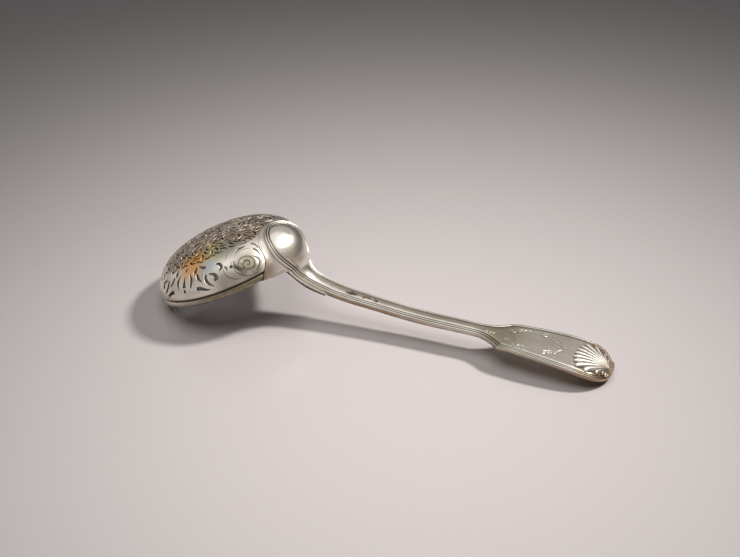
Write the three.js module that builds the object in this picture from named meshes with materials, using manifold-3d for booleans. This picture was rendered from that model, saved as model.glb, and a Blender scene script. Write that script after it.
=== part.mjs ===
// Silver sifter spoon with a pierced round bowl and a threaded fiddle handle.
// It lies as it is put down on a table: bowl downwards, on its lip and on the handle's tip.
// Millimetres, +Z up, +X from the bowl to the tip, and the plane Y = 0 is its plane of symmetry.

import * as THREE from 'three';
import { mergeVertices } from 'three/addons/utils/BufferGeometryUtils.js';
import Module from 'manifold-3d';

const wasm = await Module();
wasm.setup();

const degrees = Math.PI / 180;

// Whole spoon
const overallLength = 210; // from the lip's contact with the table to the tip
const bowlTilt = 23.7 * degrees; // the lip leans up towards the handle
const jointGap = 0.3; // clearance between neighbouring pieces
const wearDepth = 0.15; // flats rubbed by the table on the lip and the tip

// Bowl: a raised cup whose outer profile is a superellipse
const lipRadius = 35;
const bandHeight = 3.4;
const domeHeight = 16.8;
const domeCrown = 1.93; // exponent along the height, higher is flatter on top
const domeShoulder = 2.67; // exponent along the radius, higher is squarer
const wallThickness = 0.9;
const footThickness = 2; // the wall where it meets the lip band
const footHeight = 1.6;

// Lip band: a moulded wire with a rebate that takes the bowl's foot
const bandWidth = 2;
const bandShell = 0.9; // wall left outside the rebate
const rebateDepth = 1.4;
const lipChamfer = 0.5;

// Handle: heights of its face along the spoon, and its half widths
const dropReach = 51 * degrees; // how far the drop climbs over the dome, as a profile angle
const dropStart = 2; // bare saddle beyond the drop's round end
const dropRise = 13.5; // from the round end to the drop's widest place
const dropHalfWidth = 13.5;
const dropCrown = 2.1;
const neckTaper = 21; // from the drop's widest place to the stem
const neckHalfWidth = 5.2;
const waistHalfWidth = 4.6;
const shoulderStart = 60.5; // distances from the tip
const shoulderEnd = 48.5;
const shoulderHalfWidth = 10.1;
const bladeWidest = 14;
const bladeHalfWidth = 13.4;
const tipSquareness = 2.3; // exponent of the tip's superellipse
const stemRounding = 0.7; // how much lower the stem's edges lie than its middle
const bladeRounding = 0.4;
const stemCrown = 0.25;
const neckPlate = 1; // handle thickness where it lies on the saddle
const stemThickness = 3.3;
const stemEdge = 2.3;
const bladeThickness = 2.4;
const bladeEdge = 1.9;
const tipThickness = 3.3;

// Middle line of the handle's face below the lip
const neckLine = [[0.9, -2.1], [1.5, -4.4], [2.9, -6.5], [5.3, -8.4], [9.3, -10.1]]; // from the lip
const stemLine = [[125, 16], [108, 13.8], [88, 12], [65, 11.4]]; // distance from the tip and height
const bladeLine = [[47, 10.7], [32, 10.2], [20, 9.2], [12, 7.9], [6, 5.9], [0, 2.6]];

// Threads: a double moulding that follows the handle's whole outline
const threadPitch = 1.08;
const threadDepth = 0.35;
const edgeRounding = 0.5;

// Saddle: the flared root between the bowl's wall and the handle
const saddlePlate = 0.7;
const saddleWrap = 37.3 * degrees; // how far round the lip it reaches on each side
const saddleShoulder = 11.3;
const saddleFillet = 7; // length of the flare below the lip
const saddleLength = 20.5; // how far it reaches along the stem below the lip
const saddleLip = 0.35; // thickness of its feathered border

// Shells in relief on both faces of the tip
const shellFlutes = 13;
const shellFocus = 3.6; // from the tip to the point where the flutes meet
const shellReach = 15.2;
const shellRelief = 0.95;
const fluteDepth = 0.3;
const scallopDepth = 0.5;
const shellMargin = 0.9; // border of handle left around the shell
const underShellReach = 11;
const underShellRelief = 0.65;

// Piercings: a frieze of palmettes round the wall and rings of slots over the dome
const palmetteAngles = [-99, 180, 99];
const slotWidth = 1.3;
const slotLength = 3.9;
const slotPitch = 4.9;
const ringPitch = 4.9;
const firstRing = 15.4; // distances up the wall from the lip band
const crownHole = 1.5;
const slotLean = 0.35;

// Fineness of the meshes
const lapSegments = 40;
const outerRows = 8;
const innerRows = 5;
const strokeSteps = 3;
const halvings = 30; // steps of a search by halves
const lipSteps = [0.6, 1.3, 3.1]; // extra rows of points where the flare leaves the lip

const saddleFlare = lipRadius * Math.sin(saddleWrap);

// The bowl's frame: its axis leans by the tilt, and its lip touches the table at the origin
const lipContactRadius = lipRadius - lipChamfer;
const bowlCentre = new THREE.Vector3(
  lipContactRadius * Math.cos(bowlTilt),
  0,
  lipContactRadius * Math.sin(bowlTilt) - wearDepth,
);
const bowlFrame = new THREE.Matrix4().makeRotationY(-bowlTilt).setPosition(bowlCentre);
const bowlFrameInverse = bowlFrame.clone().invert();

// Outer profile of the bowl at a profile angle, from 0 at the band to 90 degrees at the apex
function domeProfile(angle) {
  const rise = Math.sin(angle);
  return {
    radius: lipRadius * Math.max(0, 1 - rise ** domeCrown) ** (1 / domeShoulder),
    height: bandHeight + domeHeight * rise,
  };
}

function domeRadiusAt(height) {
  if (height <= bandHeight) return lipRadius;
  const rise = (height - bandHeight) / domeHeight;
  if (rise >= 1) return 0;
  return lipRadius * (1 - rise ** domeCrown) ** (1 / domeShoulder);
}

// The profile by its length from the lip band, with its outward normal
const profileSamples = 400;
const profileTable = [];
for (let i = 0; i <= profileSamples; i++) {
  const point = domeProfile((i / profileSamples) * (Math.PI / 2));
  const last = profileTable[i - 1];
  point.length = last ? last.length + Math.hypot(point.radius - last.radius, point.height - last.height) : 0;
  profileTable.push(point);
}

function profileAt(length) {
  let upper = profileTable.findIndex((point) => point.length >= length);
  if (upper < 1) upper = length <= 0 ? 1 : profileSamples;
  const a = profileTable[upper - 1];
  const b = profileTable[upper];
  const t = (length - a.length) / (b.length - a.length);
  const run = b.length - a.length;
  return {
    radius: THREE.MathUtils.lerp(a.radius, b.radius, t),
    height: THREE.MathUtils.lerp(a.height, b.height, t),
    outward: (b.height - a.height) / run,
    upward: (a.radius - b.radius) / run,
  };
}

// A point on the bowl's outside, or off it by a distance along the normal
function onBowl(turn, length, offset) {
  const p = profileAt(length);
  const radius = p.radius + p.outward * offset;
  return new THREE.Vector3(
    radius * Math.cos(turn),
    radius * Math.sin(turn),
    p.height + p.upward * offset,
  );
}

// Meshes and solids
function geometryFrom(points, triangles) {
  const coordinates = points.flatMap((p) => [p.x, p.y, p.z]);
  const geometry = new THREE.BufferGeometry();
  geometry.setAttribute('position', new THREE.Float32BufferAttribute(coordinates, 3));
  geometry.setIndex(triangles.flat());
  return geometry;
}

function signedVolume(geometry) {
  const position = geometry.getAttribute('position');
  const index = geometry.getIndex();
  const corners = [new THREE.Vector3(), new THREE.Vector3(), new THREE.Vector3()];
  let volume = 0;
  for (let i = 0; i < index.count; i += 3) {
    corners.forEach((corner, k) => corner.fromBufferAttribute(position, index.getX(i + k)));
    volume += corners[0].dot(corners[1].clone().cross(corners[2])) / 6;
  }
  return volume;
}

function welded(geometry) {
  const bare = geometry.clone();
  bare.deleteAttribute('normal');
  bare.deleteAttribute('uv');
  const merged = mergeVertices(bare, 1e-5);
  const index = merged.getIndex();
  const kept = [];
  for (let i = 0; i < index.count; i += 3) {
    const [a, b, c] = [index.getX(i), index.getX(i + 1), index.getX(i + 2)];
    if (a !== b && b !== c && c !== a) kept.push(a, b, c);
  }
  merged.setIndex(kept);
  if (signedVolume(merged) < 0) {
    for (let i = 0; i < kept.length; i += 3) [kept[i + 1], kept[i + 2]] = [kept[i + 2], kept[i + 1]];
    merged.setIndex(kept);
  }
  return merged;
}

function toSolid(geometry) {
  const merged = welded(geometry);
  return new wasm.Manifold(new wasm.Mesh({
    numProp: 3,
    vertProperties: new Float32Array(merged.getAttribute('position').array),
    triVerts: new Uint32Array(merged.getIndex().array),
  }));
}

function fromSolid(solid) {
  const mesh = solid.getMesh();
  const geometry = new THREE.BufferGeometry();
  geometry.setAttribute('position', new THREE.BufferAttribute(new Float32Array(mesh.vertProperties), 3));
  geometry.setIndex(new THREE.BufferAttribute(new Uint32Array(mesh.triVerts), 1));
  return geometry;
}

// A lap is a closed profile of [radius, height] turned about the bowl's axis
function lap(profile) {
  const points = profile.map(([radius, height]) => new THREE.Vector2(radius, height));
  const geometry = new THREE.LatheGeometry(points, lapSegments, Math.PI / lapSegments);
  return geometry.rotateX(Math.PI / 2);
}

function domeRows(rows, radiusScale, heightScale, growth) {
  const result = [];
  for (let i = 1; i < rows; i++) {
    const p = domeProfile((i / rows) * (Math.PI / 2));
    const height = bandHeight + (p.height - bandHeight) * heightScale;
    result.push([p.radius * radiusScale + growth, height + growth]);
  }
  return result;
}

// Half space below the table, in the spoon's own coordinates
function belowTable(matrix) {
  const reach = overallLength * 2;
  const block = new THREE.BoxGeometry(reach, reach, reach).translate(0, 0, -reach / 2);
  return toSolid(block.applyMatrix4(matrix));
}

// Piercing outlines: a stroke follows a centre line, with a width at each of its points.
// Lines are in millimetres round the bowl and up its wall, from the motif's own place.
function strokeOutline(line, widths) {
  const curve = new THREE.SplineCurve(line.map(([x, y]) => new THREE.Vector2(x, y)));
  const left = [];
  const right = [];
  for (let i = 0; i <= strokeSteps; i++) {
    const t = i / strokeSteps;
    const place = t * (widths.length - 1);
    const low = Math.min(Math.floor(place), widths.length - 2);
    const half = THREE.MathUtils.lerp(widths[low], widths[low + 1], place - low) / 2;
    const centre = curve.getPoint(t);
    const along = curve.getTangent(t);
    const across = new THREE.Vector2(-along.y, along.x).multiplyScalar(half);
    left.push(centre.clone().add(across));
    right.unshift(centre.clone().sub(across));
  }
  const outline = [...left, ...right];
  return outline.filter((p, i) => p.distanceTo(outline[(i + 1) % outline.length]) > 0.02);
}

function slotOutline(length, width) {
  return [[0, -length / 2], [width / 2, length * 0.1], [0, length / 2], [-width / 2, length * 0.1]]
    .map(([x, y]) => new THREE.Vector2(x, y));
}

function dotOutline(diameter) {
  const corners = 6;
  return Array.from({ length: corners }, (_, i) => new THREE.Vector2(
    Math.cos((i / corners) * 2 * Math.PI) * (diameter / 2),
    Math.sin((i / corners) * 2 * Math.PI) * (diameter / 2),
  ));
}

// One half of a palmette, mirrored on each side of its middle
const palmetteStrokes = [
  [[[4.2, 10.4], [5.2, 8], [4.4, 5.2]], [0.3, 1.3, 0.4]],
  [[[8.6, 11], [9.2, 9.2], [10.4, 7]], [0.9, 1.4, 0.2]],
  [[[8, 3.9], [10.4, 3.6], [13.6, 2.6]], [1.5, 1, 0.2]],
  [[[13.2, 9.2], [12.9, 6.8], [16.4, 3.8]], [0.5, 1.5, 0.3]],
  [[[14.4, 9.6], [17.6, 9], [17.8, 6.6]], [0.3, 1.5, 1]],
];

// The scroll group beside the saddle, from its middle towards the saddle
const scrollStrokes = [
  [[[-9.6, 12.9], [-8.3, 11.2], [-9.8, 9.2]], [0.4, 1.3, 0.3]],
  [[[-6.6, 10.4], [-5.6, 9], [-5.7, 7.4]], [0.3, 0.7, 0.3]],
  [[[-0.9, 10.4], [-0.4, 6.8], [2.4, 4.9]], [0.4, 1.7, 0.4]],
];

// Small figures between the far palmette and its neighbours
const linkStrokes = [
  [[[-2.2, 11.6], [0, 9.8], [2.2, 11.6]], [0.4, 1.4, 0.4]],
  [[[-1.9, 4.4], [0, 6.2], [1.9, 4.4]], [0.3, 1.3, 0.3]],
];

// Every piercing as {turn, length, outline}
function piercings() {
  const found = [];
  const put = (turn, length, outline) => found.push({ turn, length, outline });
  const wallCentre = 7;
  const wallRadius = profileAt(wallCentre).radius;
  const putStroke = (turn, [line, widths], mirror) => {
    const shifted = line.map(([x, y]) => [x * mirror, y - wallCentre]);
    put(turn, wallCentre, strokeOutline(shifted, widths));
  };
  for (const angle of palmetteAngles) {
    const turn = angle * degrees;
    put(turn, 8.2, strokeOutline([[0, 2.4], [0, 0], [0, -2.2]], [0.2, 1, 1.9]));
    put(turn, 4.1, dotOutline(1.3));
    for (const mirror of [-1, 1]) {
      palmetteStrokes.forEach((stroke) => putStroke(turn, stroke, mirror));
      put(turn + (mirror * 7.3) / wallRadius, 13.2, dotOutline(1.5));
    }
  }
  for (const side of [-1, 1]) {
    const scrollTurn = side * 51 * degrees;
    scrollStrokes.forEach((stroke) => putStroke(scrollTurn, stroke, -side));
    put(side * 55.5 * degrees, 8.4, dotOutline(1.5));
    const linkTurn = Math.PI - side * 40.5 * degrees;
    linkStrokes.forEach((stroke) => putStroke(linkTurn, stroke, 1));
    put(linkTurn, 8, dotOutline(1.2));
  }
  const apex = profileTable[profileSamples].length;
  for (let ring = 0; firstRing + ring * ringPitch < apex - slotLength; ring++) {
    const length = firstRing + ring * ringPitch;
    const radius = profileAt(length).radius;
    const count = Math.max(5, Math.round((2 * Math.PI * radius) / slotPitch));
    const lean = slotLean * (ring % 2 ? 1 : -1);
    const middle = new THREE.Vector2();
    for (let i = 0; i < count; i++) {
      const turn = ((i + (ring % 2) / 2) / count) * 2 * Math.PI;
      const outline = slotOutline(slotLength, slotWidth).map((p) => p.rotateAround(middle, lean));
      if (clearOfSaddle(turn, length)) put(turn, length, outline);
    }
  }
  put(0, apex, dotOutline(crownHole));
  return found;
}

// A piercing stays off the wall that the saddle covers
function clearOfSaddle(turn, length) {
  const place = onBowl(turn, length, 0);
  const reach = domeProfile(dropReach).radius;
  const margin = slotLength * 0.75;
  if (place.x < reach - margin) return true;
  const share = THREE.MathUtils.clamp((profileAt(0).radius - place.x) / (lipRadius - reach), 0, 1);
  return Math.abs(place.y) > margin + saddleFlare - (saddleFlare - saddleShoulder) * share;
}

function piercingCutter({ turn, length, outline }) {
  if (THREE.ShapeUtils.isClockWise(outline)) outline.reverse();
  const apex = profileTable[profileSamples].length;
  const outside = wallThickness * 1.3;
  const inside = -(footThickness + wallThickness);
  const radius = Math.max(profileAt(length).radius, 1e-6);
  const place = (p, offset) => {
    if (length >= apex) {
      return new THREE.Vector3(p.x, p.y, profileTable[profileSamples].height + offset);
    }
    return onBowl(turn + p.x / radius, length + p.y, offset);
  };
  const count = outline.length;
  const points = [...outline.map((p) => place(p, outside)), ...outline.map((p) => place(p, inside))];
  const faces = THREE.ShapeUtils.triangulateShape(outline, []);
  const triangles = [...faces, ...faces.map(([a, b, c]) => [a + count, c + count, b + count])];
  for (let i = 0; i < count; i++) {
    const next = (i + 1) % count;
    triangles.push([next, i, i + count], [next, i + count, next + count]);
  }
  return toSolid(geometryFrom(points, triangles));
}

function makeBowl() {
  const seat = bandHeight + jointGap / 2;
  const tongue = bandHeight - rebateDepth + jointGap;
  const innerScale = (lipRadius - wallThickness) / lipRadius;
  const innerRise = (domeHeight - wallThickness) / domeHeight;
  const foot = lipRadius - footThickness;
  const outer = domeRows(outerRows, 1, 1, 0);
  const inner = domeRows(innerRows, innerScale, innerRise, 0).reverse()
    .filter(([, height]) => height > bandHeight + footHeight + 1);
  let solid = toSolid(lap([
    [foot, tongue],
    [lipRadius - bandShell - jointGap, tongue],
    [lipRadius - bandShell - jointGap, seat],
    [lipRadius, seat],
    ...outer,
    [0, bandHeight + domeHeight],
    [0, bandHeight + domeHeight - wallThickness],
    ...inner,
    [foot, bandHeight + footHeight],
    [foot, tongue],
  ]));
  for (const piercing of piercings()) solid = solid.subtract(piercingCutter(piercing));
  return fromSolid(solid);
}

function makeRimBand() {
  const top = bandHeight - jointGap / 2;
  const rebate = bandHeight - rebateDepth;
  const ring = toSolid(lap([
    [lipRadius - bandWidth, 0],
    [lipRadius - lipChamfer, 0],
    [lipRadius, lipChamfer],
    [lipRadius, top],
    [lipRadius - bandShell, top],
    [lipRadius - bandShell, rebate],
    [lipRadius - bandWidth, rebate],
    [lipRadius - bandWidth, 0],
  ]));
  return fromSolid(ring.subtract(belowTable(bowlFrameInverse)));
}

// Everything that the saddle must stay clear of: the bowl and its lip, filled in
function bowlEnvelope() {
  return toSolid(lap([
    [0, -jointGap],
    [lipRadius + jointGap, -jointGap],
    [lipRadius + jointGap, bandHeight],
    ...domeRows(outerRows, 1, 1, jointGap),
    [0, bandHeight + domeHeight + jointGap],
  ]).applyMatrix4(bowlFrame));
}

// The handle's face line: over the dome, down past the lip and out to the tip
const standoff = jointGap + saddlePlate + jointGap + neckPlate;

function faceLine() {
  const climb = 6;
  const points = [];
  const lift = (point, outward, upward) => {
    const local = new THREE.Vector3(point.radius + outward * standoff, 0, point.height + upward * standoff);
    return local.applyMatrix4(bowlFrame);
  };
  for (let i = 0; i <= climb; i++) {
    const angle = dropReach * (1 - i / climb);
    const a = domeProfile(angle + 0.01);
    const b = domeProfile(Math.max(angle - 0.01, 0));
    const run = Math.hypot(a.radius - b.radius, a.height - b.height);
    points.push(lift(domeProfile(angle), (a.height - b.height) / run, (b.radius - a.radius) / run));
  }
  const lipPoint = lift({ radius: lipRadius, height: 0 }, 1, 0);
  points.push(lipPoint);
  for (const [x, z] of neckLine) points.push(new THREE.Vector3(lipPoint.x + x, 0, lipPoint.z + z));
  for (const [x, z] of [...stemLine, ...bladeLine]) points.push(new THREE.Vector3(overallLength - x, 0, z));
  return { curve: new THREE.CatmullRomCurve3(points, false, 'centripetal'), lipPoint };
}

const { curve: face, lipPoint } = faceLine();
face.arcLengthDivisions = 1200;
const faceLength = face.getLength();

// Distance along the face line where a test first holds
function stationWhere(test) {
  const steps = 4000;
  for (let i = 0; i <= steps; i++) {
    if (test(face.getPointAt(i / steps))) return (i / steps) * faceLength;
  }
  return faceLength;
}

const lipStation = stationWhere((p) => p.z <= lipPoint.z && p.x > lipPoint.x - 1);
const shoulderStation = stationWhere((p) => p.x >= overallLength - shoulderStart);
const cornerStation = stationWhere((p) => p.x >= overallLength - shoulderEnd);
const widestStation = stationWhere((p) => p.x >= overallLength - bladeWidest);
const stemStation = dropStart + dropRise + neckTaper;
const notchStation = lipStation + saddleLength;

// A value that changes smoothly between stations given as [station, value]
function along(station, ...stops) {
  if (station <= stops[0][0]) return stops[0][1];
  for (let i = 1; i < stops.length; i++) {
    const [from, before] = stops[i - 1];
    const [to, after] = stops[i];
    if (station <= to) {
      return THREE.MathUtils.lerp(before, after, THREE.MathUtils.smoothstep(station, from, to));
    }
  }
  return stops[stops.length - 1][1];
}

// Depth from the face line, square to it, at which the bowl's outside is met
function depthToBowl(station, y) {
  const place = placer(station);
  const outside = (depth) => {
    const p = place(y, -depth).applyMatrix4(bowlFrameInverse);
    return Math.hypot(p.x, p.y) - domeRadiusAt(p.z);
  };
  let near = -standoff;
  let far = lipRadius * 0.6;
  for (let i = 0; i < halvings; i++) {
    const middle = (near + far) / 2;
    if (outside(middle) > 0) near = middle;
    else far = middle;
  }
  return near;
}

// Places a point at a station, a distance across and a height over the face line
function placer(station) {
  const share = THREE.MathUtils.clamp(station / faceLength, 0, 1);
  const point = face.getPointAt(share);
  const tangent = face.getTangentAt(share);
  const beyond = station - share * faceLength;
  point.addScaledVector(tangent, beyond);
  const normal = new THREE.Vector3(-tangent.z, 0, tangent.x);
  return (y, height) => point.clone().addScaledVector(normal, height).setY(y);
}

// How far the face falls away from its middle line at a distance across
function faceFall(station, y) {
  const wrap = along(station, [lipStation, 1], [stemStation - 4, 0]);
  const edge = along(
    station,
    [lipStation, 0],
    [stemStation, stemRounding / neckHalfWidth ** 2],
    [shoulderStation, stemRounding / waistHalfWidth ** 2],
    [cornerStation + 6, bladeRounding / bladeHalfWidth ** 2],
  );
  const wrapped = wrap > 0 ? wrap * (depthToBowl(station, y) - depthToBowl(station, 0)) : 0;
  return wrapped + edge * y * y;
}

// Half outlines run from the round end of the drop to the tip, as {station, width}
function handleOutline() {
  const outline = [];
  const round = 7;
  const shoulderWidth = shoulderHalfWidth - waistHalfWidth;
  for (let i = 0; i <= round; i++) {
    const turn = (i / round) * (Math.PI / 2);
    outline.push({
      station: dropStart + dropRise * (1 - Math.cos(turn)),
      width: dropHalfWidth * Math.sin(turn),
    });
  }
  const neckSteps = 9;
  for (let i = 1; i <= neckSteps; i++) {
    const t = i / neckSteps;
    outline.push({
      station: dropStart + dropRise + neckTaper * t,
      width: THREE.MathUtils.lerp(dropHalfWidth, neckHalfWidth, (1 - Math.cos(Math.PI * t)) / 2),
    });
  }
  for (const step of lipSteps) {
    const station = lipStation + step;
    outline.push({ station, width: widthAt(outline, station) });
  }
  outline.sort((a, b) => a.station - b.station);
  outline.push({ station: notchStation - jointGap / 2, width: neckHalfWidth });
  outline.push({ station: notchStation + jointGap / 2, width: neckHalfWidth });
  const stemSteps = 6;
  const stemRun = shoulderStation - notchStation - 4;
  for (let i = 1; i <= stemSteps; i++) {
    const t = i / stemSteps;
    outline.push({
      station: notchStation + 4 + stemRun * t,
      width: THREE.MathUtils.lerp(neckHalfWidth, waistHalfWidth, Math.min(1, 2 * t)),
    });
  }
  const flareSteps = 6;
  for (let i = 1; i <= flareSteps; i++) {
    const t = i / flareSteps;
    outline.push({
      station: THREE.MathUtils.lerp(shoulderStation, cornerStation, t),
      width: waistHalfWidth + shoulderWidth * t ** 2,
    });
  }
  const bladeSteps = 5;
  for (let i = 1; i <= bladeSteps; i++) {
    const t = i / bladeSteps;
    outline.push({
      station: THREE.MathUtils.lerp(cornerStation, widestStation, t),
      width: shoulderHalfWidth + (bladeHalfWidth - shoulderHalfWidth) * Math.sin(t * (Math.PI / 2)),
    });
  }
  const tipSteps = 8;
  for (let i = 1; i <= tipSteps; i++) {
    const turn = (i / tipSteps) * (Math.PI / 2);
    outline.push({
      station: widestStation + (faceLength - widestStation) * Math.sin(turn) ** (2 / tipSquareness),
      width: i === tipSteps ? 0 : bladeHalfWidth * Math.cos(turn) ** (2 / tipSquareness),
    });
  }
  return outline;
}

// The outline moved inwards by a distance
function inset(outline, distance) {
  const last = outline.length - 1;
  const mirrored = (p) => ({ station: p.station, width: -p.width });
  return outline.map((p, i) => {
    const before = i > 0 ? outline[i - 1] : mirrored(outline[1]);
    const after = i < last ? outline[i + 1] : mirrored(outline[last - 1]);
    const into = new THREE.Vector2(p.station - before.station, p.width - before.width).normalize();
    const out = new THREE.Vector2(after.station - p.station, after.width - p.width).normalize();
    const bisector = into.add(out).normalize();
    return {
      station: p.station + bisector.y * distance,
      width: i === 0 || i === last ? 0 : p.width - bisector.x * distance,
    };
  });
}

// Joins rings of points, each [station, width] half outline with its own height rule, into a plate.
// The first and last rings are filled across by strips.
function plate(rings) {
  const points = [];
  const triangles = [];
  const last = rings[0].outline.length - 1;
  const loops = rings.map(({ outline, height }) => {
    const add = (p, side) => {
      const y = side * p.width;
      points.push(placer(p.station)(y, height(p.station, y)));
      return points.length - 1;
    };
    const near = outline.map((p) => add(p, -1));
    const far = outline.slice(1, last).map((p) => add(p, 1)).reverse();
    return [...near, ...far];
  });
  const count = loops[0].length;
  for (let k = 1; k < loops.length; k++) {
    for (let i = 0; i < count; i++) {
      const next = (i + 1) % count;
      const [a, b, c, d] = [loops[k - 1][i], loops[k - 1][next], loops[k][next], loops[k][i]];
      triangles.push([a, b, c], [a, c, d]);
    }
  }
  fillAcross(rings[0], loops[0], points, triangles, false);
  fillAcross(rings[rings.length - 1], loops[loops.length - 1], points, triangles, true);
  return geometryFrom(points, triangles);
}

function fillAcross({ outline, height }, loop, points, triangles, flip) {
  const last = outline.length - 1;
  const strips = 4;
  const rows = outline.map((p, i) => {
    if (i === 0 || i === last) return Array(strips + 1).fill(loop[i]);
    const row = [loop[i]];
    const place = placer(p.station);
    for (let j = 1; j < strips; j++) {
      const y = p.width * ((2 * j) / strips - 1);
      points.push(place(y, height(p.station, y)));
      row.push(points.length - 1);
    }
    row.push(loop[loop.length - i]);
    return row;
  });
  for (let i = 0; i < last; i++) {
    for (let j = 0; j < strips; j++) {
      const [a, b] = [rows[i][j], rows[i][j + 1]];
      const [c, d] = [rows[i + 1][j + 1], rows[i + 1][j]];
      const pair = [[a, b, c], [a, c, d]].filter((t) => new Set(t).size === 3);
      triangles.push(...pair.map(([p, q, r]) => (flip ? [p, r, q] : [p, q, r])));
    }
  }
}

function widthAt(outline, station) {
  const next = outline.findIndex((p) => p.station >= station);
  if (next < 1) return 0;
  const [a, b] = [outline[next - 1], outline[next]];
  const share = (station - a.station) / Math.max(b.station - a.station, 1e-6);
  return THREE.MathUtils.lerp(a.width, b.width, share);
}

// The handle's underside, as a depth below the face line
function handleDepth(outline, station, y) {
  if (station < notchStation) return faceFall(station, y) + neckPlate;
  const middle = along(
    station,
    [shoulderStation - 30, stemThickness],
    [cornerStation, bladeThickness],
    [widestStation, bladeThickness],
    [faceLength, tipThickness],
  );
  const edge = along(
    station,
    [shoulderStation - 30, stemEdge],
    [cornerStation, bladeEdge],
    [widestStation, bladeEdge],
    [faceLength, tipThickness],
  );
  const width = Math.max(widthAt(outline, station), neckHalfWidth / 2);
  const across = Math.min(1, Math.abs(y) / width);
  return middle + (edge + faceFall(station, width) - middle) * across ** 2;
}

function makeHandle(outline) {
  const threads = [
    [0, -edgeRounding],
    [threadPitch * 0.45, 0],
    [threadPitch, -threadDepth],
    [threadPitch * 1.5, 0],
    [threadPitch * 2, -threadDepth],
    [threadPitch * 2.4, -threadDepth * 0.3],
  ];
  const field = threads[threads.length - 1][0];
  const dropMiddle = dropStart + dropRise;
  const bulge = (station, y) => {
    const crown = along(
      station,
      [dropMiddle, dropCrown],
      [stemStation, stemCrown],
      [cornerStation, 0],
    );
    const inner = widthAt(outline, Math.max(station, dropMiddle)) - field;
    const towardsEnd = Math.max(0, dropMiddle - station) / (dropRise - field);
    return crown * Math.max(0, 1 - (y / inner) ** 2 - towardsEnd ** 2);
  };
  const rings = threads.map(([distance, relief]) => ({
    outline: inset(outline, distance),
    height: (station, y) => {
      const swell = distance === field ? bulge(station, y) : 0;
      return relief + swell - faceFall(station, y);
    },
  }));
  rings.reverse();
  rings.push({ outline, height: (station, y) => -handleDepth(outline, station, y) });
  const solid = toSolid(plate(rings));
  return fromSolid(solid.subtract(belowTable(new THREE.Matrix4())));
}

// The saddle: a plate under the drop that flares over the bowl's wall and narrows to the stem
function saddleEdge(outline, station) {
  if (station <= lipStation) {
    const rise = Math.min(station / (dropStart + 5), 1);
    const slope = (saddleFlare - saddleShoulder) / lipStation;
    return saddleShoulder * Math.sqrt(1 - (1 - rise) ** 2) + slope * station;
  }
  const width = widthAt(outline, station);
  const fillet = Math.max(0, 1 - (station - lipStation) / saddleFillet) ** 3.5;
  return width + 0.2 + (saddleFlare - widthAt(outline, lipStation)) * fillet;
}

function makeSaddle(outline) {
  const end = notchStation - jointGap * 1.5;
  const spaced = outline.filter((p) => p.station < end - 0.5);
  spaced.push({ station: end, width: widthAt(outline, end) }, { station: end, width: 0 });
  const outer = spaced.map((p, i) => {
    const share = THREE.MathUtils.clamp((p.station - dropStart) / dropRise, 0, 1);
    const station = p.station - dropStart * (1 - share);
    const ends = i === 0 || i === spaced.length - 1;
    return { station, width: ends ? 0 : saddleEdge(outline, station) };
  });
  const blend = (t) => spaced.map((p, i) => ({
    station: THREE.MathUtils.lerp(p.station, outer[i].station, t),
    width: THREE.MathUtils.lerp(p.width, outer[i].width, t),
  }));
  const top = neckPlate + jointGap;
  const borderDepth = (station) => along(
    station,
    [lipStation + 1, standoff - jointGap - saddleLip],
    [lipStation + 12, 2.3],
    [notchStation, 2],
  );
  const underDepth = (station) => along(
    station,
    [lipStation + 1, standoff + footThickness],
    [lipStation + 5, 2.9],
    [lipStation + 12, 3.3],
    [notchStation, 2.7],
  );
  const depthRule = (depth) => (station, y) => -faceFall(station, y) - depth(station);
  const rings = [
    { outline: spaced, height: depthRule(() => top) },
    { outline: blend(0.5), height: depthRule((station) => (top * 0.6 + borderDepth(station) * 0.4)) },
    { outline: outer, height: depthRule(borderDepth) },
    { outline: outer, height: depthRule(underDepth) },
  ];
  const solid = toSolid(plate(rings)).subtract(bowlEnvelope());
  const pieces = solid.decompose().sort((a, b) => b.volume() - a.volume());
  return fromSolid(pieces[0]);
}

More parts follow.
